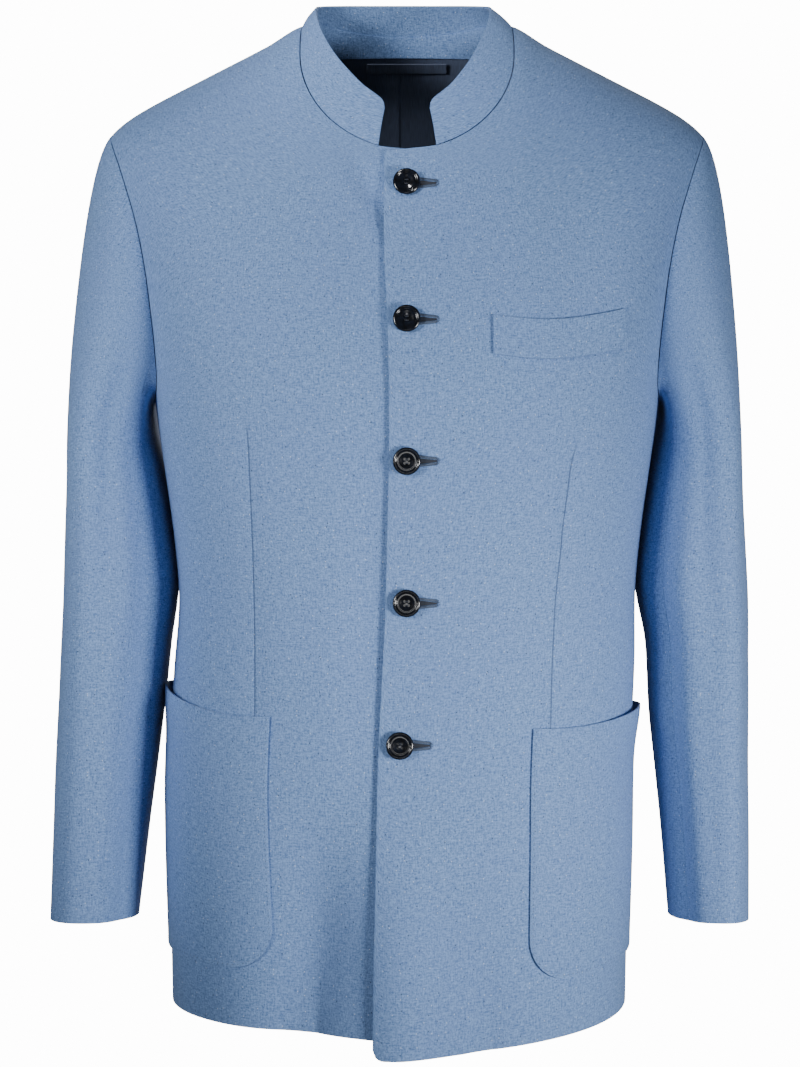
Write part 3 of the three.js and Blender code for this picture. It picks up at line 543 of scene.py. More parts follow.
def front_place(side, across, up):
    """Across is 0 at the edge and 1 at the side. Up is 0 at the hem, 1 at the chest, 2 at the shoulder."""
    below = np.minimum(up, 1)
    level = lerp(HEM_SIDE_Z, CHEST_Z, below)
    half = read(SECTIONS, "half", level)
    edge = np.arcsin(front_edge_x(side, level) / half)
    turn = lerp(edge, side_turn(level), across)
    z = lerp(front_hem_z(side, turn), CHEST_Z, below)
    if side > 0:
        z = z + corner_rise(half * np.sin(turn), level)
    share = np.maximum(up - 1, 0)
    edge_z = lerp(CHEST_Z, neck_z(np.float64(-UNDERLAP)), share / FRONT_NECK_SHARE)
    on_edge = place_at(FRONT, front_edge_x(side, edge_z), edge_z)
    on_neck = front_neck(neck_along((share - FRONT_NECK_SHARE) / (1 - FRONT_NECK_SHARE)))
    start = [np.where(share < FRONT_NECK_SHARE, a, b) for a, b in zip(on_edge, on_neck)]
    hole = armhole_front(share)
    low = (turn, (z - CHEST_Z) * STEP_PER_MM)
    return tuple(np.where(up < 1, a, lerp(b, c, across)) for a, b, c in zip(low, start, hole))


def back_place(across, up):
    """Across is 0 at the side and 1 at the middle seam, and up is as on the fronts."""
    below = np.minimum(up, 1)
    turn = lerp(side_turn(lerp(HEM_SIDE_Z, CHEST_Z, below)), MIDDLE_BACK, across)
    z = lerp(HEM_SIDE_Z - BACK_HEM_DROP * across, CHEST_Z, below)
    share = np.maximum(up - 1, 0)
    seam_z = lerp(CHEST_Z, BACK_NECK_Z, share / BACK_NECK_SHARE)
    on_seam = (np.full(np.shape(share), MIDDLE_BACK), step_at(BACK, 0, seam_z))
    on_neck = back_neck((share - BACK_NECK_SHARE) / (1 - BACK_NECK_SHARE))
    end = [np.where(share < BACK_NECK_SHARE, a, b) for a, b in zip(on_seam, on_neck)]
    hole = armhole_back(share)
    low = (turn, (z - BLADE_Z) * STEP_PER_MM)
    return tuple(np.where(up < 1, a, lerp(b, c, across)) for a, b, c in zip(low, hole, end))


def sleeve_section(side, angle, z):
    name = "left" if side > 0 else "right"
    outer = read(SLEEVE, name + "Outer", z)
    inner = read(SLEEVE, name + "Inner", z)
    front = read(SLEEVE, "front", z)
    back = read(SLEEVE, "back", z)
    power = 2 / SLEEVE_SQUARENESS
    cos, sin = np.cos(np.radians(angle)), np.sin(np.radians(angle))
    across = np.sign(cos) * np.abs(cos) ** power
    ahead = np.sign(sin) * np.abs(sin) ** power
    off = -ahead * (back - front) / 2
    x = (outer + inner) / 2 + across * (outer - inner) / 2 - SLEEVE_SKEW * off
    return np.stack(np.broadcast_arrays(x, (front + back) / 2 + off, z), -1)


def sleeve_fold(side, angle, z):
    depth = np.zeros(np.shape(angle))
    for fold_side, at, turn, top, low, width, deep in SLEEVE_FOLDS:
        if fold_side in (0, side):
            off = (angle - at - turn * (top - z) + 180) % 360 - 180
            along = ease(top, top + (low - top) * 0.3, z) * (1 - ease(top + (low - top) * 0.6, low, z))
            depth = depth + deep * along * np.exp(-((off / width) ** 2))
    return depth


def armhole_point(angle):
    ahead = body_point(FRONT, *armhole_front(1 - angle / 180))
    behind = body_point(BACK, *armhole_back((angle - 180) / 180))
    return np.where((angle <= 180)[..., None], ahead, behind)


def sleeve_point(side, angle, level):
    """Angle 0 is outside, 90 the front, 180 inside. Level 0 is the armhole, 1 the bicep, 2 the cuff."""
    angle, level = np.broadcast_arrays(angle % 360, level)
    tube = sleeve_section(side, angle, lerp(BICEP_Z, CUFF_Z, np.maximum(level - 1, 0)))
    end = sleeve_section(side, angle, np.full(angle.shape, float(BICEP_Z)))
    fall = sleeve_section(side, angle, np.full(angle.shape, float(BICEP_Z - 10))) - end
    leave = np.stack([read(SLEEVE_HEAD, column, angle) for column in ("outward", "backward", "upward")], -1)
    reach = unit(fall) * read(SLEEVE_HEAD, "fall", angle)[..., None]
    start = armhole_point(angle) + unit(leave) * SEAM_GAP * 2
    t = np.minimum(level, 1)[..., None]
    head = (
        start * (2 * t**3 - 3 * t**2 + 1)
        + leave * (t**3 - 2 * t**2 + t)
        + end * (3 * t**2 - 2 * t**3)
        + reach * (t**3 - t**2)
    )
    point = np.where((level > 1)[..., None], tube, head)
    fold = sleeve_fold(side, angle, point[..., 2])
    point[..., 0] += fold * np.cos(np.radians(angle))
    point[..., 1] -= fold * np.sin(np.radians(angle))
    return point


def back_point(x, z):
    """The point of the back's outer face that is seen at x and z, on either side of the middle."""
    point = body_point(BACK, *place_at(BACK, np.abs(x), z))
    point[..., 0] = x
    return point


# Grids of points for each piece
def grid(across, up):
    return np.meshgrid(np.asarray(across, float), np.asarray(up, float), indexing="ij")


def normals_of(points):
    return unit(np.cross(np.gradient(points, axis=0), np.gradient(points, axis=1)))


def cut_lengths(points, level_row=0):
    """Places on the flat cut, from lengths over the cloth across and up a grid, with one row lying level."""
    across = np.linalg.norm(np.diff(points, axis=0), axis=-1)
    up = np.linalg.norm(np.diff(points, axis=1), axis=-1)
    u = np.concatenate([np.zeros((1, points.shape[1])), np.cumsum(across, axis=0)])
    v = np.concatenate([np.zeros((points.shape[0], 1)), np.cumsum(up, axis=1)], axis=1)
    middle = points.shape[0] // 2
    return np.stack([u - u[middle], v - v[:, level_row, None]], -1)


def grid_object(name, points, side=1, level_row=0, dart_shade=None):
    """A sheet of square faces through a grid of points, with its lengths on the cut as UV, in metres.

    Dart shade says how much shade is painted at each point along a dart's groove.
    """
    columns, rows = points.shape[:2]
    bm = bmesh.new()
    bmesh.ops.create_grid(bm, x_segments=columns - 1, y_segments=rows - 1, size=0.5)
    flat = np.array([vert.co[:2] for vert in bm.verts])
    i = np.rint((flat[:, 0] + 0.5) * (columns - 1)).astype(int)
    j = np.rint((flat[:, 1] + 0.5) * (rows - 1)).astype(int)
    for vert, place in zip(bm.verts, points[i, j] * MM):
        vert.co = place
    if side < 0:
        bmesh.ops.reverse_faces(bm, faces=bm.faces)
    mesh = bpy.data.meshes.new(name)
    bm.to_mesh(mesh)
    bm.free()
    corner = np.empty(len(mesh.loops), np.int32)
    mesh.loops.foreach_get("vertex_index", corner)
    cut = (cut_lengths(points, level_row) * MM)[i, j]
    mesh.uv_layers.new(name="cut").data.foreach_set("uv", cut[corner].astype(np.float32).ravel())
    if dart_shade is not None:
        seam = mesh.attributes.new("seam", "FLOAT", "POINT")
        seam.data.foreach_set("value", dart_shade[i, j].astype(np.float32))
    mesh.shade_smooth()
    piece = bpy.data.objects.new(name, mesh)
    bpy.context.scene.collection.objects.link(piece)
    return piece


def thicken(piece, thickness, outer, inner):
    """Gives a sheet its thickness, with rolled edges, and its inner face another cloth."""
    piece.data.materials.append(outer)
    piece.data.materials.append(inner)
    wall = piece.modifiers.new("thickness", "SOLIDIFY")
    wall.thickness = thickness
    wall.offset = -1
    wall.material_offset = 1
    wall.material_offset_rim = 0
    roll = piece.modifiers.new("rolled edges", "BEVEL")
    roll.width = thickness * 0.38
    roll.segments = 3
    roll.limit_method = "ANGLE"
    roll.angle_limit = math.radians(50)
    roll.harden_normals = False
    return piece


def carried(piece, slot, *nodes):
    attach(piece, "root")
    if nodes:
        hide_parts(*nodes)
    return piece


def side_name(side):
    return "left" if side > 0 else "right"


# Materials
PALE_SLUB = (0.74, 0.84, 0.98, 1)
# Colour of the dark slubs, and also of the shade painted along the darts
DARK_YARN_AND_DART_SHADE = (0.02, 0.035, 0.08, 1)
RESIN = (0.002, 0.0025, 0.004, 1)
RESIN_MARBLE = (0.006, 0.009, 0.018, 1)
FLOOR_TONES = ((0.8, 0.8, 0.8, 1), (0.86, 0.86, 0.86, 1))
# Threads: their light and their dark colour
THREADS = {
    "buttonhole silk": ((0.1, 0.155, 0.26), (0.015, 0.025, 0.06)),
    # The dark silk colours the button threads, and also the dark sheets of painted shade over the
    # buttonholes' slits
    "dark silk and slit shade": ((0.02, 0.03, 0.055), (0.006, 0.009, 0.018)),
    "picking silk": ((0.1, 0.15, 0.26), (0.03, 0.05, 0.1)),
}


def socket_node(tree, kind, inputs=None, **settings):
    """A shader node with its settings, and its inputs set to values or linked to other nodes' outputs."""
    made = tree.nodes.new(kind)
    for name, value in settings.items():
        setattr(made, name, value)
    for name, value in (inputs or {}).items():
        if isinstance(value, bpy.types.NodeSocket):
            tree.links.new(value, made.inputs[name])
        else:
            made.inputs[name].default_value = value
    return made


def new_material(name):
    material = bpy.data.materials.new(name)
    material.use_nodes = True
    tree = material.node_tree
    tree.nodes.clear()
    shader = socket_node(tree, "ShaderNodeBsdfPrincipled")
    output = socket_node(tree, "ShaderNodeOutputMaterial")
    tree.links.new(shader.outputs["BSDF"], output.inputs["Surface"])
    return material, tree, shader


def scaled_noise(tree, coordinates, scale, detail=2.0, roughness=0.5):
    mapping = socket_node(tree, "ShaderNodeMapping", {"Vector": coordinates, "Scale": scale})
    inputs = {"Vector": mapping.outputs[0], "Scale": 1.0, "Detail": detail, "Roughness": roughness}
    return socket_node(tree, "ShaderNodeTexNoise", inputs, noise_dimensions="3D").outputs["Fac"]


def curve_of(tree, value, low, high, to_low=0.0, to_high=1.0):
    inputs = {"Value": value, "From Min": low, "From Max": high, "To Min": to_low, "To Max": to_high}
    return socket_node(tree, "ShaderNodeMapRange", inputs).outputs[0]


def maths(tree, operation, first, second):
    return socket_node(tree, "ShaderNodeMath", {0: first, 1: second}, operation=operation).outputs[0]


def mixed(tree, share, first, second, blend="MIX"):
    made = socket_node(tree, "ShaderNodeMix", data_type="RGBA", blend_type=blend)
    for place, value in ((0, share), (6, first), (7, second)):
        if isinstance(value, bpy.types.NodeSocket):
            tree.links.new(value, made.inputs[place])
        else:
            made.inputs[place].default_value = value
    return made.outputs[2]


def cut_place(tree):
    """The place on the flat cut, in millimetres."""
    uv = socket_node(tree, "ShaderNodeUVMap", uv_map="cut").outputs[0]
    return socket_node(tree, "ShaderNodeMapping", {"Vector": uv, "Scale": (1000, 1000, 1000)}).outputs[0]


def flecks(tree, coordinates, cells_per_mm, radius, share, seed):
    """Scattered slubs: a small dot in a share of the cells, a little longer along the yarn."""
    scale = (cells_per_mm, cells_per_mm * 0.8, 1)
    shifted = {"Vector": coordinates, "Location": (seed, seed * 0.7, 0), "Scale": scale}
    mapping = socket_node(tree, "ShaderNodeMapping", shifted)
    inputs = {"Vector": mapping.outputs[0], "Scale": 1.0, "Randomness": 1.0}
    cells = socket_node(tree, "ShaderNodeTexVoronoi", inputs, voronoi_dimensions="2D")
    dot = curve_of(tree, cells.outputs["Distance"], radius, radius * 0.35)
    split = socket_node(tree, "ShaderNodeSeparateColor", {"Color": cells.outputs["Color"]})
    chosen = maths(tree, "GREATER_THAN", split.outputs[0], 1 - share)
    return maths(tree, "MULTIPLY", dot, chosen)


def shell_cloth():
    """Blue flecked plain weave: two uneven crossing yarns, pale and dark slubs, shade painted along the
    darts, a soft dry sheen.
    """
    sizes = bpy.context.scene.blazer_cloth
    material, tree, shader = new_material("shell cloth")
    place = cut_place(tree)
    warp = scaled_noise(tree, place, (1.2, 0.15, 1), 3, 0.6)
    weft = scaled_noise(tree, place, (0.15, 1.2, 1), 3, 0.6)
    grain = scaled_noise(tree, place, (0.62, 0.62, 1), 4, 0.85)
    cloud = scaled_noise(tree, place, (0.012, 0.009, 1), 3, 0.5)
    yarns = maths(tree, "ADD", maths(tree, "ADD", warp, weft), maths(tree, "MULTIPLY", grain, 2.4))
    tone = curve_of(tree, yarns, 1.88, 2.5)
    colour = mixed(tree, tone, (*sizes.shade, 1), (*sizes.light, 1))
    colour = mixed(tree, curve_of(tree, cloud, 0.3, 0.7, 0.0, 0.2), colour, (*sizes.cool, 1))
    pale = flecks(tree, place, 0.17, 0.085, 0.22, 3.1)
    dark = flecks(tree, place, 0.14, 0.085, 0.25, 17.3)
    colour = mixed(tree, maths(tree, "MULTIPLY", pale, 0.65), colour, PALE_SLUB)
    colour = mixed(tree, maths(tree, "MULTIPLY", dark, 0.9), colour, DARK_YARN_AND_DART_SHADE)
    # Painted shade: the cloth is darkened along each dart's groove by the seam attribute, standing in for the
    # shadow in the groove
    seam = socket_node(tree, "ShaderNodeAttribute", attribute_name="seam").outputs["Fac"]
    colour = mixed(tree, maths(tree, "MULTIPLY", seam, 0.75), colour, DARK_YARN_AND_DART_SHADE)
    tree.links.new(colour, shader.inputs["Base Color"])
    pitch = 2 * math.pi / sizes.yarn_pitch
    split = socket_node(tree, "ShaderNodeSeparateXYZ", {"Vector": place})
    waves = [maths(tree, "SINE", maths(tree, "MULTIPLY", split.outputs[k], pitch), 0.0) for k in (0, 1)]
    weave = maths(tree, "MULTIPLY", waves[0], waves[1])
    height = maths(tree, "ADD", maths(tree, "MULTIPLY", weave, 0.25), yarns)
    bump = socket_node(tree, "ShaderNodeBump", {"Strength": 0.35, "Distance": 0.0002, "Height": height})
    tree.links.new(bump.outputs[0], shader.inputs["Normal"])
    shader.inputs["Roughness"].default_value = 0.85
    shader.inputs["Specular IOR Level"].default_value = 0.2
    shader.inputs["Sheen Weight"].default_value = 0.25
    shader.inputs["Sheen Roughness"].default_value = 0.45
    shader.inputs["Sheen Tint"].default_value = (0.75, 0.85, 1, 1)
    return material


def lining_cloth():
    """Dark navy satin, with a fine twill line and faint slack ripples."""
    sizes = bpy.context.scene.blazer_cloth
    material, tree, shader = new_material("lining satin")
    place = cut_place(tree)
    threads = scaled_noise(tree, place, (2.2, 0.1, 1), 2, 0.5)
    ripples = scaled_noise(tree, place, (0.06, 0.02, 1), 2, 0.5)
    dark = tuple(value * 0.6 for value in sizes.lining)
    colour = mixed(tree, curve_of(tree, threads, 0.3, 0.7), (*dark, 1), (*sizes.lining, 1))
    tree.links.new(colour, shader.inputs["Base Color"])
    height = maths(tree, "ADD", threads, maths(tree, "MULTIPLY", ripples, 12))
    bump = socket_node(tree, "ShaderNodeBump", {"Strength": 0.3, "Distance": 0.0002, "Height": height})
    tree.links.new(bump.outputs[0], shader.inputs["Normal"])
    shader.inputs["Roughness"].default_value = 0.42
    shader.inputs["Sheen Weight"].default_value = 0.15
    return material


def button_resin():
    """Polished near-black resin with a faint navy marbling."""
    material, tree, shader = new_material("button resin")
    where = socket_node(tree, "ShaderNodeTexCoord").outputs["Object"]
    marble = scaled_noise(tree, where, (260, 260, 260), 4, 0.6)
    colour = mixed(tree, curve_of(tree, marble, 0.4, 0.7), RESIN, RESIN_MARBLE)
    tree.links.new(colour, shader.inputs["Base Color"])
    wear = scaled_noise(tree, where, (900, 900, 900), 3, 0.6)
    tree.links.new(curve_of(tree, wear, 0.3, 0.8, 0.12, 0.24), shader.inputs["Roughness"])
    shader.inputs["Coat Weight"].default_value = 0.6
    shader.inputs["Coat Roughness"].default_value = 0.05
    return material


def sewing_thread(name, light, shade):
    """Twisted thread: a fine diagonal line over a soft colour."""
    material, tree, shader = new_material(name)
    where = socket_node(tree, "ShaderNodeTexCoord").outputs["Object"]
    turned = {"Vector": where, "Rotation": (0.6, 0.6, 0.8), "Scale": (4200, 900, 4200)}
    twist = socket_node(tree, "ShaderNodeMapping", turned).outputs[0]
    fine = {"Vector": twist, "Scale": 1.0, "Detail": 2.0}
    lines = socket_node(tree, "ShaderNodeTexNoise", fine).outputs["Fac"]
    colour = mixed(tree, curve_of(tree, lines, 0.35, 0.65), (*shade, 1), (*light, 1))
    tree.links.new(colour, shader.inputs["Base Color"])
    bump = socket_node(tree, "ShaderNodeBump", {"Strength": 0.4, "Distance": 0.0001, "Height": lines})
    tree.links.new(bump.outputs[0], shader.inputs["Normal"])
    shader.inputs["Roughness"].default_value = 0.55
    shader.inputs["Sheen Weight"].default_value = 0.2
    return material


def finish_named(name, make):
    """The finish of that name, made once."""
    return bpy.data.materials.get(name) or make()


def cloth():
    return finish_named("shell cloth", shell_cloth)


def satin():
    return finish_named("lining satin", lining_cloth)


def resin():
    return finish_named("button resin", button_resin)


def thread(name):
    return finish_named(name, lambda: sewing_thread(name, *THREADS[name]))


# The fine grids
def front_columns():
    """Shares across a front, closer together beside its dart."""
    even = np.linspace(0, 1, FRONT_COLUMNS + 1)
    near = DART_SHARE + DART_COLUMNS
    even = even[np.min(np.abs(even[:, None] - near[None, :]), axis=1) > DART_COLUMNS_APART]
    return np.sort(np.concatenate([even, near]))


def two_part_rows(lower, upper):
    """Rows from 0 to 2, with one at 1."""
    return np.concatenate([np.linspace(0, 1, lower + 1)[:-1], 1 + np.linspace(0, 1, upper + 1)])


def front_points(side):
    """A front's grid, with a column of it led along the dart."""
    rows = two_part_rows(LOWER_ROWS, UPPER_ROWS)
    across, up = grid(front_columns(), rows)
    dart = DARTS[side]
    ends = [front_place(side, np.full(rows.shape, share), rows) for share in (0.0, 1.0)]
    heights = body_point(FRONT, *front_place(side, np.full(rows.shape, DART_SHARE), rows))[:, 2]
    turn, _ = place_at(FRONT, read(dart, "x", heights), heights)
    led = (turn - ends[0][0]) / (ends[1][0] - ends[0][0])
    led = lerp(led, DART_SHARE, ease(1.25, 1.6, rows))
    warped = np.where(
        across < DART_SHARE,
        across / DART_SHARE * led,
        1 - (1 - across) / (1 - DART_SHARE) * (1 - led),
    )
    turn, step = front_place(side, warped, up)
    turn = turn - np.where((across == 1) & (up < 1), SEAM_TURN, 0)
    point = front_point(side, turn, step)
    off = point[..., 0] - read(dart, "x", point[..., 2])
    z = point[..., 2]
    top, low = dart["z"][-1], dart["z"][0]
    along = ease(top + 4, top - 12, z) * (1 - ease(low - 6, low - 30, z))
    groove = np.exp(-((off / DART_GROOVE[0]) ** 2)) * DART_GROOVE[1]
    hollow = np.exp(-((off / DART_HOLLOW[0]) ** 2)) * DART_HOLLOW[1]
    sunk = (groove + hollow) * along
    point[..., 0] -= sunk * np.sin(turn)
    point[..., 1] += sunk * np.cos(turn)
    point[:, -1, 1] -= SEWN_GAP / 2
    # Painted shade along the dart's groove, kept on the front as its seam attribute
    dart_shade = np.exp(-((off / DART_SHADE_HALF_WIDTH) ** 2)) * along
    return placed(point, side), dart_shade


def back_points(side):
    across, up = grid(np.linspace(0, 1, BACK_COLUMNS + 1), two_part_rows(LOWER_ROWS, UPPER_ROWS))
    turn, step = back_place(across, up)
    turn = turn + np.where((across == 0) & (up < 1), SEAM_TURN, 0)
    point = body_point(BACK, turn, step)
    point[:, -1, 1] += SEWN_GAP / 2
    return placed(point, side)


def sleeve_points(side, upper):
    columns = UPPER_SLEEVE_COLUMNS if upper else UNDER_SLEEVE_COLUMNS
    across, level = grid(np.linspace(0, 1, columns + 1), two_part_rows(SLEEVE_HEAD_ROWS, SLEEVE_ROWS))
    seam = math.degrees(SEWN_GAP / 2 / SLEEVE_RADIUS)
    z = np.where(level > 1, lerp(BICEP_Z, CUFF_Z, level - 1), lerp(SEAMS_TOP_Z, BICEP_Z, level))
    front = read(SLEEVE_SEAMS, side_name(side) + "Front", z)
    back = read(SLEEVE_SEAMS, "back", z)
    if upper:
        angle = lerp(back - 360 + seam, front - seam, across)
    else:
        angle = lerp(front + seam, back - seam, across)
    return placed(sleeve_point(side, angle, level), side)


def collar_points():
    across, up = grid(np.linspace(0, 2, COLLAR_COLUMNS), np.linspace(0, 1, COLLAR_ROWS))
    side = np.where(across > 1, -1, 1)
    half = 1 - np.abs(1 - across)
    ahead = front_point(side, *front_neck(lerp(COLLAR_START, 1, half * 2)))
    behind = body_point(BACK, *back_neck(2 - half * 2))
    base = np.where((half < 0.5)[..., None], ahead, behind)
    top = np.stack([read(COLLAR_TOP, column, half) for column in ("x", "y", "z")], -1)
    top[..., 0] += COLLAR_TOP_SHIFT * ease(0, 0.35, half) * side
    inward = unit(-base * (1, 1, 0))
    near = np.clip(1 - half * COLLAR_LENGTH / COLLAR_CORNER, 0, 1)
    drop = COLLAR_CORNER / COLLAR_HEIGHT * (1 - np.sqrt(1 - near**2))
    point = lerp(base, top, (up * (1 - drop))[..., None])
    point += inward * (COLLAR_CLEAR - COLLAR_BULGE * np.sin(up * math.pi))[..., None]
    point[..., 2] += COLLAR_CLEAR
    out = point.copy()
    out[..., 0] = point[..., 0] * side + lean(point[..., 2])
    return out


def facing_points():
    """The inner collar's lower edge, from the collar's inner face over the neck seam to a level line."""
    collar = collar_points()[slice(*FACING_COLUMNS)]
    high = collar[:, FACING_ROW]
    inward = unit(-high * (1, 1, 0))
    high = high + inward * (COLLAR_THICK + FACING_CLEAR)
    x = collar[:, 0, 0]
    low_z = FACING_LOW_Z - FACING_SAG * (np.abs(x) / NECK_X) ** 2
    low = back_point(x, np.minimum(low_z, ridge_z(x) - FACING_UNDER_RIDGE))
    low = low - normals_of(np.stack([low, low + (0, 0, 1)], 1))[:, 0] * FACING_DEPTH
    share = np.linspace(0, 1, 9)[None, :, None]
    bow = FACING_BOW * (x / NECK_X)[:, None, None] ** 2 * np.sin(share * math.pi)
    return high[:, None] * share + low[:, None] * (1 - share) + inward[:, None] * bow


def pocket_place(side, across, up):
    start, _ = place_at(FRONT, np.float64(POCKET_X), np.float64(POCKET_LEVEL))
    turn = lerp(start, math.radians(POCKET_END_TURN), across)
    from_edge = np.minimum(across, 1 - across) * POCKET_WIDTH
    near = np.clip(1 - from_edge / POCKET_CORNER, 0, 1)
    low = front_hem_z(side, turn) + POCKET_ABOVE_HEM + POCKET_CORNER * (1 - np.sqrt(1 - near**2))
    mouth, mouth_side = POCKET_MOUTH[side]
    high = lerp(mouth, mouth_side, ease(0.1, 1, across))
    return turn, (lerp(low, high, up) - CHEST_Z) * STEP_PER_MM


def pocket_points(side):
    ends = np.sin(np.linspace(0, math.pi / 2, 25)) ** 2
    columns = np.unique(np.concatenate([ends * 0.2, np.linspace(0.2, 0.8, 41), 1 - ends * 0.2]))
    across, up = grid(columns, np.linspace(0, 1, 81))
    flat = front_point(side, *pocket_place(side, across, up))
    gape = ease(0.7, 1, up) ** 2 * ease(0.2, 0.75, across) * (1 - 0.5 * ease(0.9, 1, across)) * POCKET_GAPE
    puff = POCKET_PUFF * np.sin(np.pi * across) * np.sin(np.pi * up)
    from_edge = np.minimum(across, 1 - across) * POCKET_WIDTH
    border = 1 - POCKET_BORDER * np.exp(-from_edge / POCKET_BORDER_WIDTH)
    raised = flat + normals_of(flat) * ((CLOTH_MM + LAID_ON) * border + gape + puff)[..., None]
    return placed(raised, side)


def welt_points():
    across, up = grid(np.linspace(0, 1, 81), np.linspace(0, 1, 31))
    low = WELT_Z + WELT_RISE * across**2 - WELT_DIP * np.sin(across * math.pi)
    place = place_at(FRONT, lerp(WELT_FROM, WELT_TO, across), low + WELT_HEIGHT * up)
    flat = front_point(1, *place)
    gape = WELT_GAPE * ease(0.5, 1, up) * np.sin(math.pi * across)
    return placed(flat + normals_of(flat) * (CLOTH_MM + LAID_ON + gape)[..., None], 1)


def lining_points():
    """The upper back's lining, with its middle pleat and the slack folds beside it."""
    across, up = grid(np.linspace(0, 1, 201), np.linspace(0, 1, 31))
    x = lerp(LINING_HALF, -LINING_HALF, across)
    under_facing = FACING_LOW_Z - FACING_SAG * (x / NECK_X) ** 2 + LINING_UNDER_FACING
    high = np.minimum(back_neck_z(x) + LINING_RISE, ridge_z(x) - LINING_UNDER_RIDGE)
    point = back_point(x, lerp(LINING_LOW, np.minimum(high, under_facing), up))
    beside = PLEAT_X - x
    fall = np.exp(-np.maximum(beside, 0) / PLEAT_WIDTH) * (1 - up**3)
    pleat = PLEAT_DEPTH * ease(-PLEAT_EDGE, PLEAT_EDGE, beside) * fall
    slack = sum(
        share * np.exp(-(((x - at - shift * up) / width) ** 2)) for at, shift, width, share in SLACK_FOLDS
    )
    tuck = LINING_CLEAR * LINING_TUCK * ease(0.9, 1, up)
    point -= normals_of(point) * (CLOTH_MM + LINING_CLEAR - tuck)[..., None]
    point[..., 1] -= pleat + slack * SLACK_DEPTH * np.sin(math.pi * up)
    return point


def loop_points():
    across, up = grid(np.linspace(0, 1, 61), np.linspace(0, 1, 7))
    point = back_point(lerp(LOOP_HALF, -LOOP_HALF, across), LOOP_Z + LOOP_HEIGHT * up)
    point -= normals_of(point) * (CLOTH_MM + LINING_CLEAR + LINING_CLOTH + LOOP_CLEAR)
    point[..., 1] -= LOOP_BOW * np.sin(across * math.pi)
    return point


# Sewing
def small_stitch(bm, middle, along, out, length, width):
    """A stitch, as a small rounded bar on the cloth."""
    along = Vector(along).normalized()
    out = Vector(out).normalized()
    beside = out.cross(along).normalized()
    turn = Matrix((along, beside, out)).transposed().to_4x4()
    size = Matrix.Diagonal((length / 2 * MM, width / 2 * MM, width / 2 * MM, 1))
    place = Matrix.Translation(Vector(middle) * MM)
    bmesh.ops.create_uvsphere(bm, u_segments=8, v_segments=5, radius=1, matrix=place @ turn @ size)


def sewn_object(name, bm, finish):
    for face in bm.faces:
        face.smooth = True
    mesh = bpy.data.meshes.new(name)
    bm.to_mesh(mesh)
    bm.free()
    mesh.materials.append(finish)
    piece = bpy.data.objects.new(name, mesh)
    bpy.context.scene.collection.objects.link(piece)
    return piece


def picking_along(name, line, normals):
    """A row of picking stitches along a line of points."""
    steps = np.linalg.norm(np.diff(line, axis=0), axis=1)
    lengths = np.concatenate([[0], np.cumsum(steps)])
    count = int(lengths[-1] / PICK_SPACING)
    at = (np.arange(count) + 0.5) * lengths[-1] / count
    middles = np.stack([np.interp(at, lengths, line[:, k]) for k in range(3)], -1)
    ahead = np.stack([np.interp(at + 0.5, lengths, line[:, k]) for k in range(3)], -1)
    behind = np.stack([np.interp(at - 0.5, lengths, line[:, k]) for k in range(3)], -1)
    outs = np.stack([np.interp(at, lengths, normals[:, k]) for k in range(3)], -1)
    bm = bmesh.new()
    for middle, along, out in zip(middles, ahead - behind, outs):
        small_stitch(bm, middle, along, out, PICK_LENGTH, PICK_WIDTH)
    return sewn_object(name, bm, thread("picking silk"))


def pick_pocket(name, points):
    """Small stitches just inside a patch pocket's edge, from one end of its mouth round to the other."""
    normals = normals_of(points)
    rows = np.arange(points.shape[1] - 1, PICK_ROW, -1)
    last = points.shape[0] - 1 - PICK_COLUMN
    path = [(PICK_COLUMN, row) for row in rows]
    path += [(column, PICK_ROW) for column in range(PICK_COLUMN, last + 1)]
    path += [(last, row) for row in rows[::-1]]
    columns, levels = np.array(path).T
    out = normals[columns, levels]
    out[out[:, 1] > 0] *= -1
    line = points[columns, levels] + out * 0.1
    carried(picking_along(f"{name}_pocket_picking", line, out), "shell_cloth")


def face_point(x, z):
    return placed(front_point(1, *place_at(FRONT, np.float64(x), np.float64(z))), 1)


def front_frame(x, z):
    """A point of the left front's face, with the directions across, up and out there."""
    middle = face_point(x, z)
    across = face_point(x + 1, z) - face_point(x - 1, z)
    up = face_point(x, z + 1) - face_point(x, z - 1)
    return middle, unit(across), unit(up), unit(np.cross(across, up))


def button_heights():
    return [TOP_BUTTON_Z - BUTTON_SPACING * k for k in range(BUTTONS)]


def hole_line():
    """Points round the slit, across and up from the button's middle, and the outward direction at each."""
    tip = np.linspace(math.pi / 2, -math.pi / 2, 17)
    across = np.concatenate([[HOLE_START], HOLE_TIP + HOLE_HALF[1] * np.cos(tip), [HOLE_START]])
    up = np.concatenate([[HOLE_HALF[0]], HOLE_HALF[1] * np.sin(tip), [-HOLE_HALF[0]]])
    lengths = np.concatenate([[0], np.cumsum(np.hypot(np.diff(across), np.diff(up)))])
    at = np.linspace(0, lengths[-1], HOLE_STITCHES)
    line = np.stack([np.interp(at, lengths, across), np.interp(at, lengths, up)], -1)
    ahead = np.gradient(line, axis=0)
    outward = np.stack([-ahead[:, 1], ahead[:, 0]], -1)
    return line, unit(outward)


def on_front(z, place, out, height):
    """A point over the left front, placed across and up from a button's middle."""
    return face_point(BUTTON_X + place[0], z + place[1]) + out * height


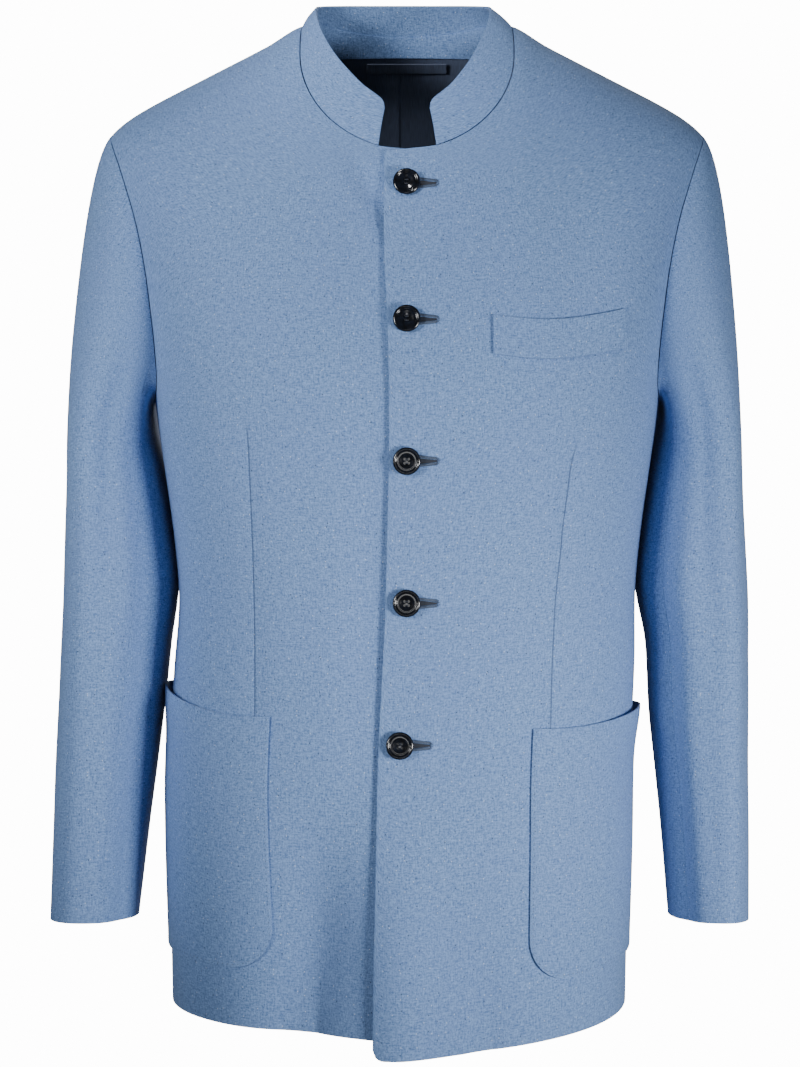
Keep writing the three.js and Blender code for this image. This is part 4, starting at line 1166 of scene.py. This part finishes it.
def buttonhole(number, z):
    """The stitched edge of one buttonhole, and a dark sheet over its slit that is painted shade standing in
    for the shadow in the cut.
    """
    out = front_frame(BUTTON_X, z)[3]
    line, outward = hole_line()
    bm = bmesh.new()
    for place, away in zip(line, outward):
        inner = on_front(z, place + away * 0.1, out, HOLE_INNER_HEIGHT)
        outer = on_front(z, place + away * HOLE_EDGE, out, HOLE_OUTER_HEIGHT)
        small_stitch(bm, (inner + outer) / 2, outer - inner, out, HOLE_EDGE, HOLE_STITCH_WIDTH)
    edge = sewn_object(f"buttonhole_{number}", bm, thread("buttonhole silk"))
    # Painted shade: a dark sheet over the slit stands in for the shadow in the cut
    slit = bmesh.new()
    corners = [slit.verts.new(on_front(z, place, out, SLIT_SHADE_HEIGHT) * MM) for place in line]
    slit.faces.new(corners)
    dark = sewn_object(f"buttonhole_{number}_slit", slit, thread("dark silk and slit shade"))
    for piece in (edge, dark):
        carried(piece, "shell_cloth")


def turned_button(number):
    """A rimmed button turned on a lathe, lying flat."""
    bm = bmesh.new()
    ring = [bm.verts.new((radius * MM, 0, height * MM)) for radius, height in BUTTON_OUTLINE]
    for first, second in zip(ring, ring[1:]):
        bm.edges.new((first, second))
    turned = {"geom": bm.verts[:] + bm.edges[:], "axis": (0, 0, 1), "cent": (0, 0, 0)}
    bmesh.ops.spin(bm, **turned, steps=64, angle=2 * math.pi, use_merge=True)
    bmesh.ops.remove_doubles(bm, verts=bm.verts, dist=1e-6)
    bmesh.ops.recalc_face_normals(bm, faces=bm.faces)
    return sewn_object(f"coat_button_{number}", bm, resin())


def drill_through(piece):
    """Cuts the four sewing holes of a button that lies flat."""
    drill = bmesh.new()
    pin = {"radius1": BUTTON_HOLE_RADIUS * MM, "radius2": BUTTON_HOLE_RADIUS * MM, "depth": DRILL_LENGTH * MM}
    for k in range(BUTTON_HOLES):
        angle = (k + 0.5) * 2 * math.pi / BUTTON_HOLES
        out = Vector((math.cos(angle), math.sin(angle), 0)) * BUTTON_HOLE_OUT
        place = Matrix.Translation((out + Vector((0, 0, DRILL_HEIGHT))) * MM)
        bmesh.ops.create_cone(drill, cap_ends=True, segments=20, matrix=place, **pin)
    cutter = sewn_object("drill", drill, resin())
    holes = piece.modifiers.new("holes", "BOOLEAN")
    holes.operation = "DIFFERENCE"
    holes.object = cutter
    holes.solver = "EXACT"
    graph = bpy.context.evaluated_depsgraph_get()
    drilled = bpy.data.meshes.new_from_object(piece.evaluated_get(graph))
    piece.modifiers.clear()
    piece.data = drilled
    bpy.data.objects.remove(cutter)


def resin_button(number, z):
    """A coat button on the front, held by its thread."""
    middle, _, up, _ = front_frame(BUTTON_X, z)
    across = np.array((1.0, 0, 0))
    out = unit(np.cross(across, up) - (0, 1, 0))
    up = np.cross(out, across)
    piece = turned_button(number)
    drill_through(piece)
    turn = Matrix((Vector(across), Vector(up), Vector(out))).transposed().to_4x4()
    piece.data.transform(Matrix.Translation(Vector(middle + out * BUTTON_CLEAR) * MM) @ turn)
    piece.data.shade_smooth()
    piece.modifiers.new("edge", "EDGE_SPLIT").split_angle = math.radians(40)
    carried(piece, "button_resin", f"button_{number}")
    threads = bmesh.new()
    for height in BUTTON_THREADS_UP:
        centre = middle + out * (BUTTON_CLEAR + BUTTON_THREAD_HEIGHT) + up * height
        small_stitch(threads, centre, across, out, BUTTON_THREAD_LENGTH, BUTTON_THREAD_WIDTH)
    carried(sewn_object(f"button_thread_{number}", threads, thread("dark silk and slit shade")), "shell_cloth")


class ClothSizes(bpy.types.PropertyGroup):
    """The shell cloth and the lining."""

    thickness: bpy.props.FloatProperty(
        name="Thickness", description="Shell cloth with its canvas", default=0.002, unit="LENGTH"
    )
    collar_thickness: bpy.props.FloatProperty(
        name="Collar thickness",
        description="Two layers of cloth and a stiffener",
        default=0.0026,
        unit="LENGTH",
    )
    lining_thickness: bpy.props.FloatProperty(
        name="Lining thickness", description="Lining with its slack", default=0.001, unit="LENGTH"
    )
    yarn_pitch: bpy.props.FloatProperty(
        name="Yarn pitch", description="Distance between crossings of the weave, in millimetres", default=0.9
    )
    light: bpy.props.FloatVectorProperty(
        name="Light yarn",
        description="Paler of the two yarns",
        subtype="COLOR",
        default=(0.25, 0.405, 0.72),
    )
    shade: bpy.props.FloatVectorProperty(
        name="Dark yarn",
        description="Darker of the two yarns",
        subtype="COLOR",
        default=(0.085, 0.165, 0.37),
    )
    cool: bpy.props.FloatVectorProperty(
        name="Cast",
        description="Slow change of colour over the cloth",
        subtype="COLOR",
        default=(0.16, 0.25, 0.58),
    )
    lining: bpy.props.FloatVectorProperty(
        name="Lining", description="Lining satin", subtype="COLOR", default=(0.1, 0.13, 0.215)
    )


class StudioSizes(bpy.types.PropertyGroup):
    """Camera and lights."""

    distance: bpy.props.FloatProperty(
        name="Camera distance",
        description="From the camera to the jacket's middle plane",
        default=2.5,
        unit="LENGTH",
    )
    lens: bpy.props.FloatProperty(name="Lens", description="Focal length in millimetres", default=109.54)
    key: bpy.props.FloatProperty(name="Right softbox", description="Its light in watts", default=3.2)
    left: bpy.props.FloatProperty(name="Left softbox", description="Its light in watts", default=2.9)
    beside: bpy.props.FloatProperty(name="Side softbox", description="Its light in watts", default=0.32)
    fill: bpy.props.FloatProperty(name="Front fill", description="Its light in watts", default=0.7)
    neck: bpy.props.FloatProperty(name="Neck light", description="Its light in watts", default=0.1)
    behind: bpy.props.FloatProperty(name="Back light", description="Its light in watts", default=2.2)
    backdrop: bpy.props.FloatProperty(name="Backdrop", description="Brightness behind the jacket", default=14)
    ambient: bpy.props.FloatProperty(name="Ambient", description="Light from all round", default=0.055)


class BLAZER_OT_fronts(bpy.types.Operator):
    """Cut the two fronts, with their darts"""

    bl_idname = "blazer.fronts"
    bl_label = "Fronts"

    def execute(self, context):
        sizes = context.scene.blazer_cloth
        for side in (1, -1):
            name = side_name(side)
            points, dart_shade = front_points(side)
            piece = grid_object(f"{name}_front_cloth", points, side, dart_shade=dart_shade)
            thicken(piece, sizes.thickness, cloth(), satin())
            carried(piece, "shell_cloth", f"{name}_front")
        return {"FINISHED"}


class BLAZER_OT_backs(bpy.types.Operator):
    """Cut the two backs"""

    bl_idname = "blazer.backs"
    bl_label = "Backs"

    def execute(self, context):
        sizes = context.scene.blazer_cloth
        for side in (1, -1):
            name = side_name(side)
            piece = grid_object(f"{name}_back_cloth", back_points(side), side)
            thicken(piece, sizes.thickness, cloth(), satin())
            carried(piece, "shell_cloth", f"{name}_back")
        return {"FINISHED"}


class BLAZER_OT_sleeves(bpy.types.Operator):
    """Cut the upper and under sleeves"""

    bl_idname = "blazer.sleeves"
    bl_label = "Sleeves"

    def execute(self, context):
        sizes = context.scene.blazer_cloth
        for side in (1, -1):
            for part, upper in (("upper_sleeve", True), ("under_sleeve", False)):
                name = f"{side_name(side)}_{part}"
                piece = grid_object(f"{name}_cloth", sleeve_points(side, upper), side, level_row=-1)
                thicken(piece, sizes.thickness, cloth(), satin())
                carried(piece, "shell_cloth", name)
        return {"FINISHED"}


class BLAZER_OT_collar(bpy.types.Operator):
    """Cut the stand collar"""

    bl_idname = "blazer.collar"
    bl_label = "Collar"

    def execute(self, context):
        piece = grid_object("collar_cloth", collar_points())
        thicken(piece, context.scene.blazer_cloth.collar_thickness, cloth(), cloth())
        carried(piece, "shell_cloth", "collar")
        return {"FINISHED"}


class BLAZER_OT_collar_facing(bpy.types.Operator):
    """Lay the inner collar's lower edge over the neck seam"""

    bl_idname = "blazer.collar_facing"
    bl_label = "Collar facing"

    def execute(self, context):
        piece = grid_object("collar_facing", facing_points())
        thicken(piece, context.scene.blazer_cloth.lining_thickness * 0.8, cloth(), cloth())
        carried(piece, "shell_cloth")
        return {"FINISHED"}


class BLAZER_OT_pockets(bpy.types.Operator):
    """Cut the patch pockets and the breast welt, and pick the pockets' edges"""

    bl_idname = "blazer.pockets"
    bl_label = "Pockets"

    def execute(self, context):
        sizes = context.scene.blazer_cloth
        for side in (1, -1):
            name = side_name(side)
            points = pocket_points(side)
            piece = grid_object(f"{name}_pocket_cloth", points, side, level_row=-1)
            thicken(piece, sizes.thickness * 0.7, cloth(), cloth())
            carried(piece, "shell_cloth", f"{name}_pocket")
            pick_pocket(name, points)
        welt = grid_object("breast_welt_cloth", welt_points())
        thicken(welt, sizes.thickness * 0.7, cloth(), cloth())
        carried(welt, "shell_cloth", "breast_welt")
        return {"FINISHED"}


class BLAZER_OT_lining(bpy.types.Operator):
    """Cut the upper back's lining and its hanger loop"""

    bl_idname = "blazer.lining"
    bl_label = "Lining"

    def execute(self, context):
        sizes = context.scene.blazer_cloth
        loop = grid_object("hanger_loop_cloth", loop_points())
        thicken(loop, sizes.lining_thickness, satin(), satin())
        carried(loop, "lining_cloth", "hanger_loop")
        lining = grid_object("back_lining_cloth", lining_points())
        thicken(lining, sizes.lining_thickness, satin(), satin())
        carried(lining, "lining_cloth", "back_lining")
        return {"FINISHED"}


class BLAZER_OT_buttons(bpy.types.Operator):
    """Turn the buttons and sew their buttonholes"""

    bl_idname = "blazer.buttons"
    bl_label = "Buttons"

    def execute(self, context):
        for k, z in enumerate(button_heights()):
            buttonhole(k + 1, z)
            resin_button(k + 1, z)
        return {"FINISHED"}


def soft_light(name, place, aim, size, watts, spread):
    light = bpy.data.lights.new(name, "AREA")
    light.shape = "SQUARE"
    light.size = size
    light.energy = watts
    light.spread = math.radians(spread)
    lamp = bpy.data.objects.new(name, light)
    lamp.location = place
    lamp.visible_camera = False
    lamp.rotation_euler = (Vector(aim) - Vector(place)).to_track_quat("-Z", "Y").to_euler()
    bpy.context.scene.collection.objects.link(lamp)


def studio_world(backdrop, ambient):
    """A bright backdrop behind the jacket, and a dim light from all round on it."""
    world = bpy.data.worlds.new("studio")
    world.use_nodes = True
    tree = world.node_tree
    tree.nodes.clear()
    seen = socket_node(tree, "ShaderNodeBackground", {"Color": (1, 1, 1, 1), "Strength": backdrop})
    lit = socket_node(tree, "ShaderNodeBackground", {"Color": (0.93, 0.96, 1, 1), "Strength": ambient})
    path = socket_node(tree, "ShaderNodeLightPath")
    mix = socket_node(tree, "ShaderNodeMixShader", {"Fac": path.outputs["Is Camera Ray"]})
    tree.links.new(lit.outputs[0], mix.inputs[1])
    tree.links.new(seen.outputs[0], mix.inputs[2])
    output = socket_node(tree, "ShaderNodeOutputWorld")
    tree.links.new(mix.outputs[0], output.inputs[0])
    bpy.context.scene.world = world


def studio_floor():
    """A pale round floor, well under the jacket."""
    bm = bmesh.new()
    low = Matrix.Translation((0, 0, FLOOR_Z))
    bmesh.ops.create_circle(bm, cap_ends=True, segments=96, radius=FLOOR_RADIUS, matrix=low)
    material, tree, shader = new_material("studio floor")
    where = socket_node(tree, "ShaderNodeTexCoord").outputs["Object"]
    tone = curve_of(tree, scaled_noise(tree, where, (3, 3, 3)), 0.3, 0.7)
    tree.links.new(mixed(tree, tone, *FLOOR_TONES), shader.inputs["Base Color"])
    shader.inputs["Roughness"].default_value = 0.9
    return sewn_object("floor", bm, material)


# Studio sizes in metres
CENTRE = (-0.0054, 0, -0.3904)
SENSOR_MM = 36
FLOOR_Z = -1.4
FLOOR_RADIUS = 2.8


class BLAZER_OT_stage(bpy.types.Operator):
    """Set the floor, the lights and the camera"""

    bl_idname = "blazer.stage"
    bl_label = "Stage"

    def execute(self, context):
        sizes = context.scene.blazer_studio
        camera = bpy.data.cameras.new("camera")
        camera.lens = sizes.lens
        camera.sensor_width = SENSOR_MM
        camera.clip_end = 50
        eye = bpy.data.objects.new("camera", camera)
        eye.location = Vector(CENTRE) - Vector((0, sizes.distance, 0))
        eye.rotation_euler = (math.radians(90), 0, 0)
        context.scene.collection.objects.link(eye)
        context.scene.camera = eye
        studio_floor()
        soft_light("right softbox", (1.15, -1.25, -0.62), (0.04, -0.1, -0.55), 0.45, sizes.key, 56)
        soft_light("left softbox", (-1.7, -1.9, 0.25), (-0.12, 0, -0.04), 0.7, sizes.left, 38)
        soft_light("side softbox", (-1.7, -1.3, -0.5), (-0.27, 0, -0.5), 0.4, sizes.beside, 26)
        soft_light("front fill", (0, -2.6, -0.34), (0, 0, -0.4), 0.42, sizes.fill, 120)
        soft_light("neck light", (-0.3, -0.8, 0.95), (-0.01, 0.11, -0.16), 0.2, sizes.neck, 15)
        soft_light("back light", (0.5, 2.4, 0.1), (0, 0, -0.35), 0.6, sizes.behind, 60)
        studio_world(sizes.backdrop, sizes.ambient)
        return {"FINISHED"}


class BLAZER_PT_panel(bpy.types.Panel):
    """Lists the blazer's pieces"""

    bl_label = "Blazer"
    bl_idname = "BLAZER_PT_panel"
    bl_space_type = "VIEW_3D"
    bl_region_type = "UI"
    bl_category = "Blazer"

    def draw(self, context):
        for operator in OPERATORS:
            self.layout.operator(operator.bl_idname)


OPERATORS = (
    BLAZER_OT_stage,
    BLAZER_OT_fronts,
    BLAZER_OT_backs,
    BLAZER_OT_sleeves,
    BLAZER_OT_collar,
    BLAZER_OT_collar_facing,
    BLAZER_OT_pockets,
    BLAZER_OT_lining,
    BLAZER_OT_buttons,
)
CLASSES = (ClothSizes, StudioSizes, *OPERATORS, BLAZER_PT_panel)


def register():
    for each in CLASSES:
        bpy.utils.register_class(each)
    bpy.types.Scene.blazer_cloth = bpy.props.PointerProperty(type=ClothSizes)
    bpy.types.Scene.blazer_studio = bpy.props.PointerProperty(type=StudioSizes)


def unregister():
    del bpy.types.Scene.blazer_studio
    del bpy.types.Scene.blazer_cloth
    for each in reversed(CLASSES):
        bpy.utils.unregister_class(each)


def main():
    register()
    bpy.ops.blazer.stage()
    bpy.ops.blazer.fronts()
    bpy.ops.blazer.backs()
    bpy.ops.blazer.sleeves()
    bpy.ops.blazer.collar()
    bpy.ops.blazer.collar_facing()
    bpy.ops.blazer.pockets()
    bpy.ops.blazer.lining()
    bpy.ops.blazer.buttons()


if __name__ == "__main__":
    main()
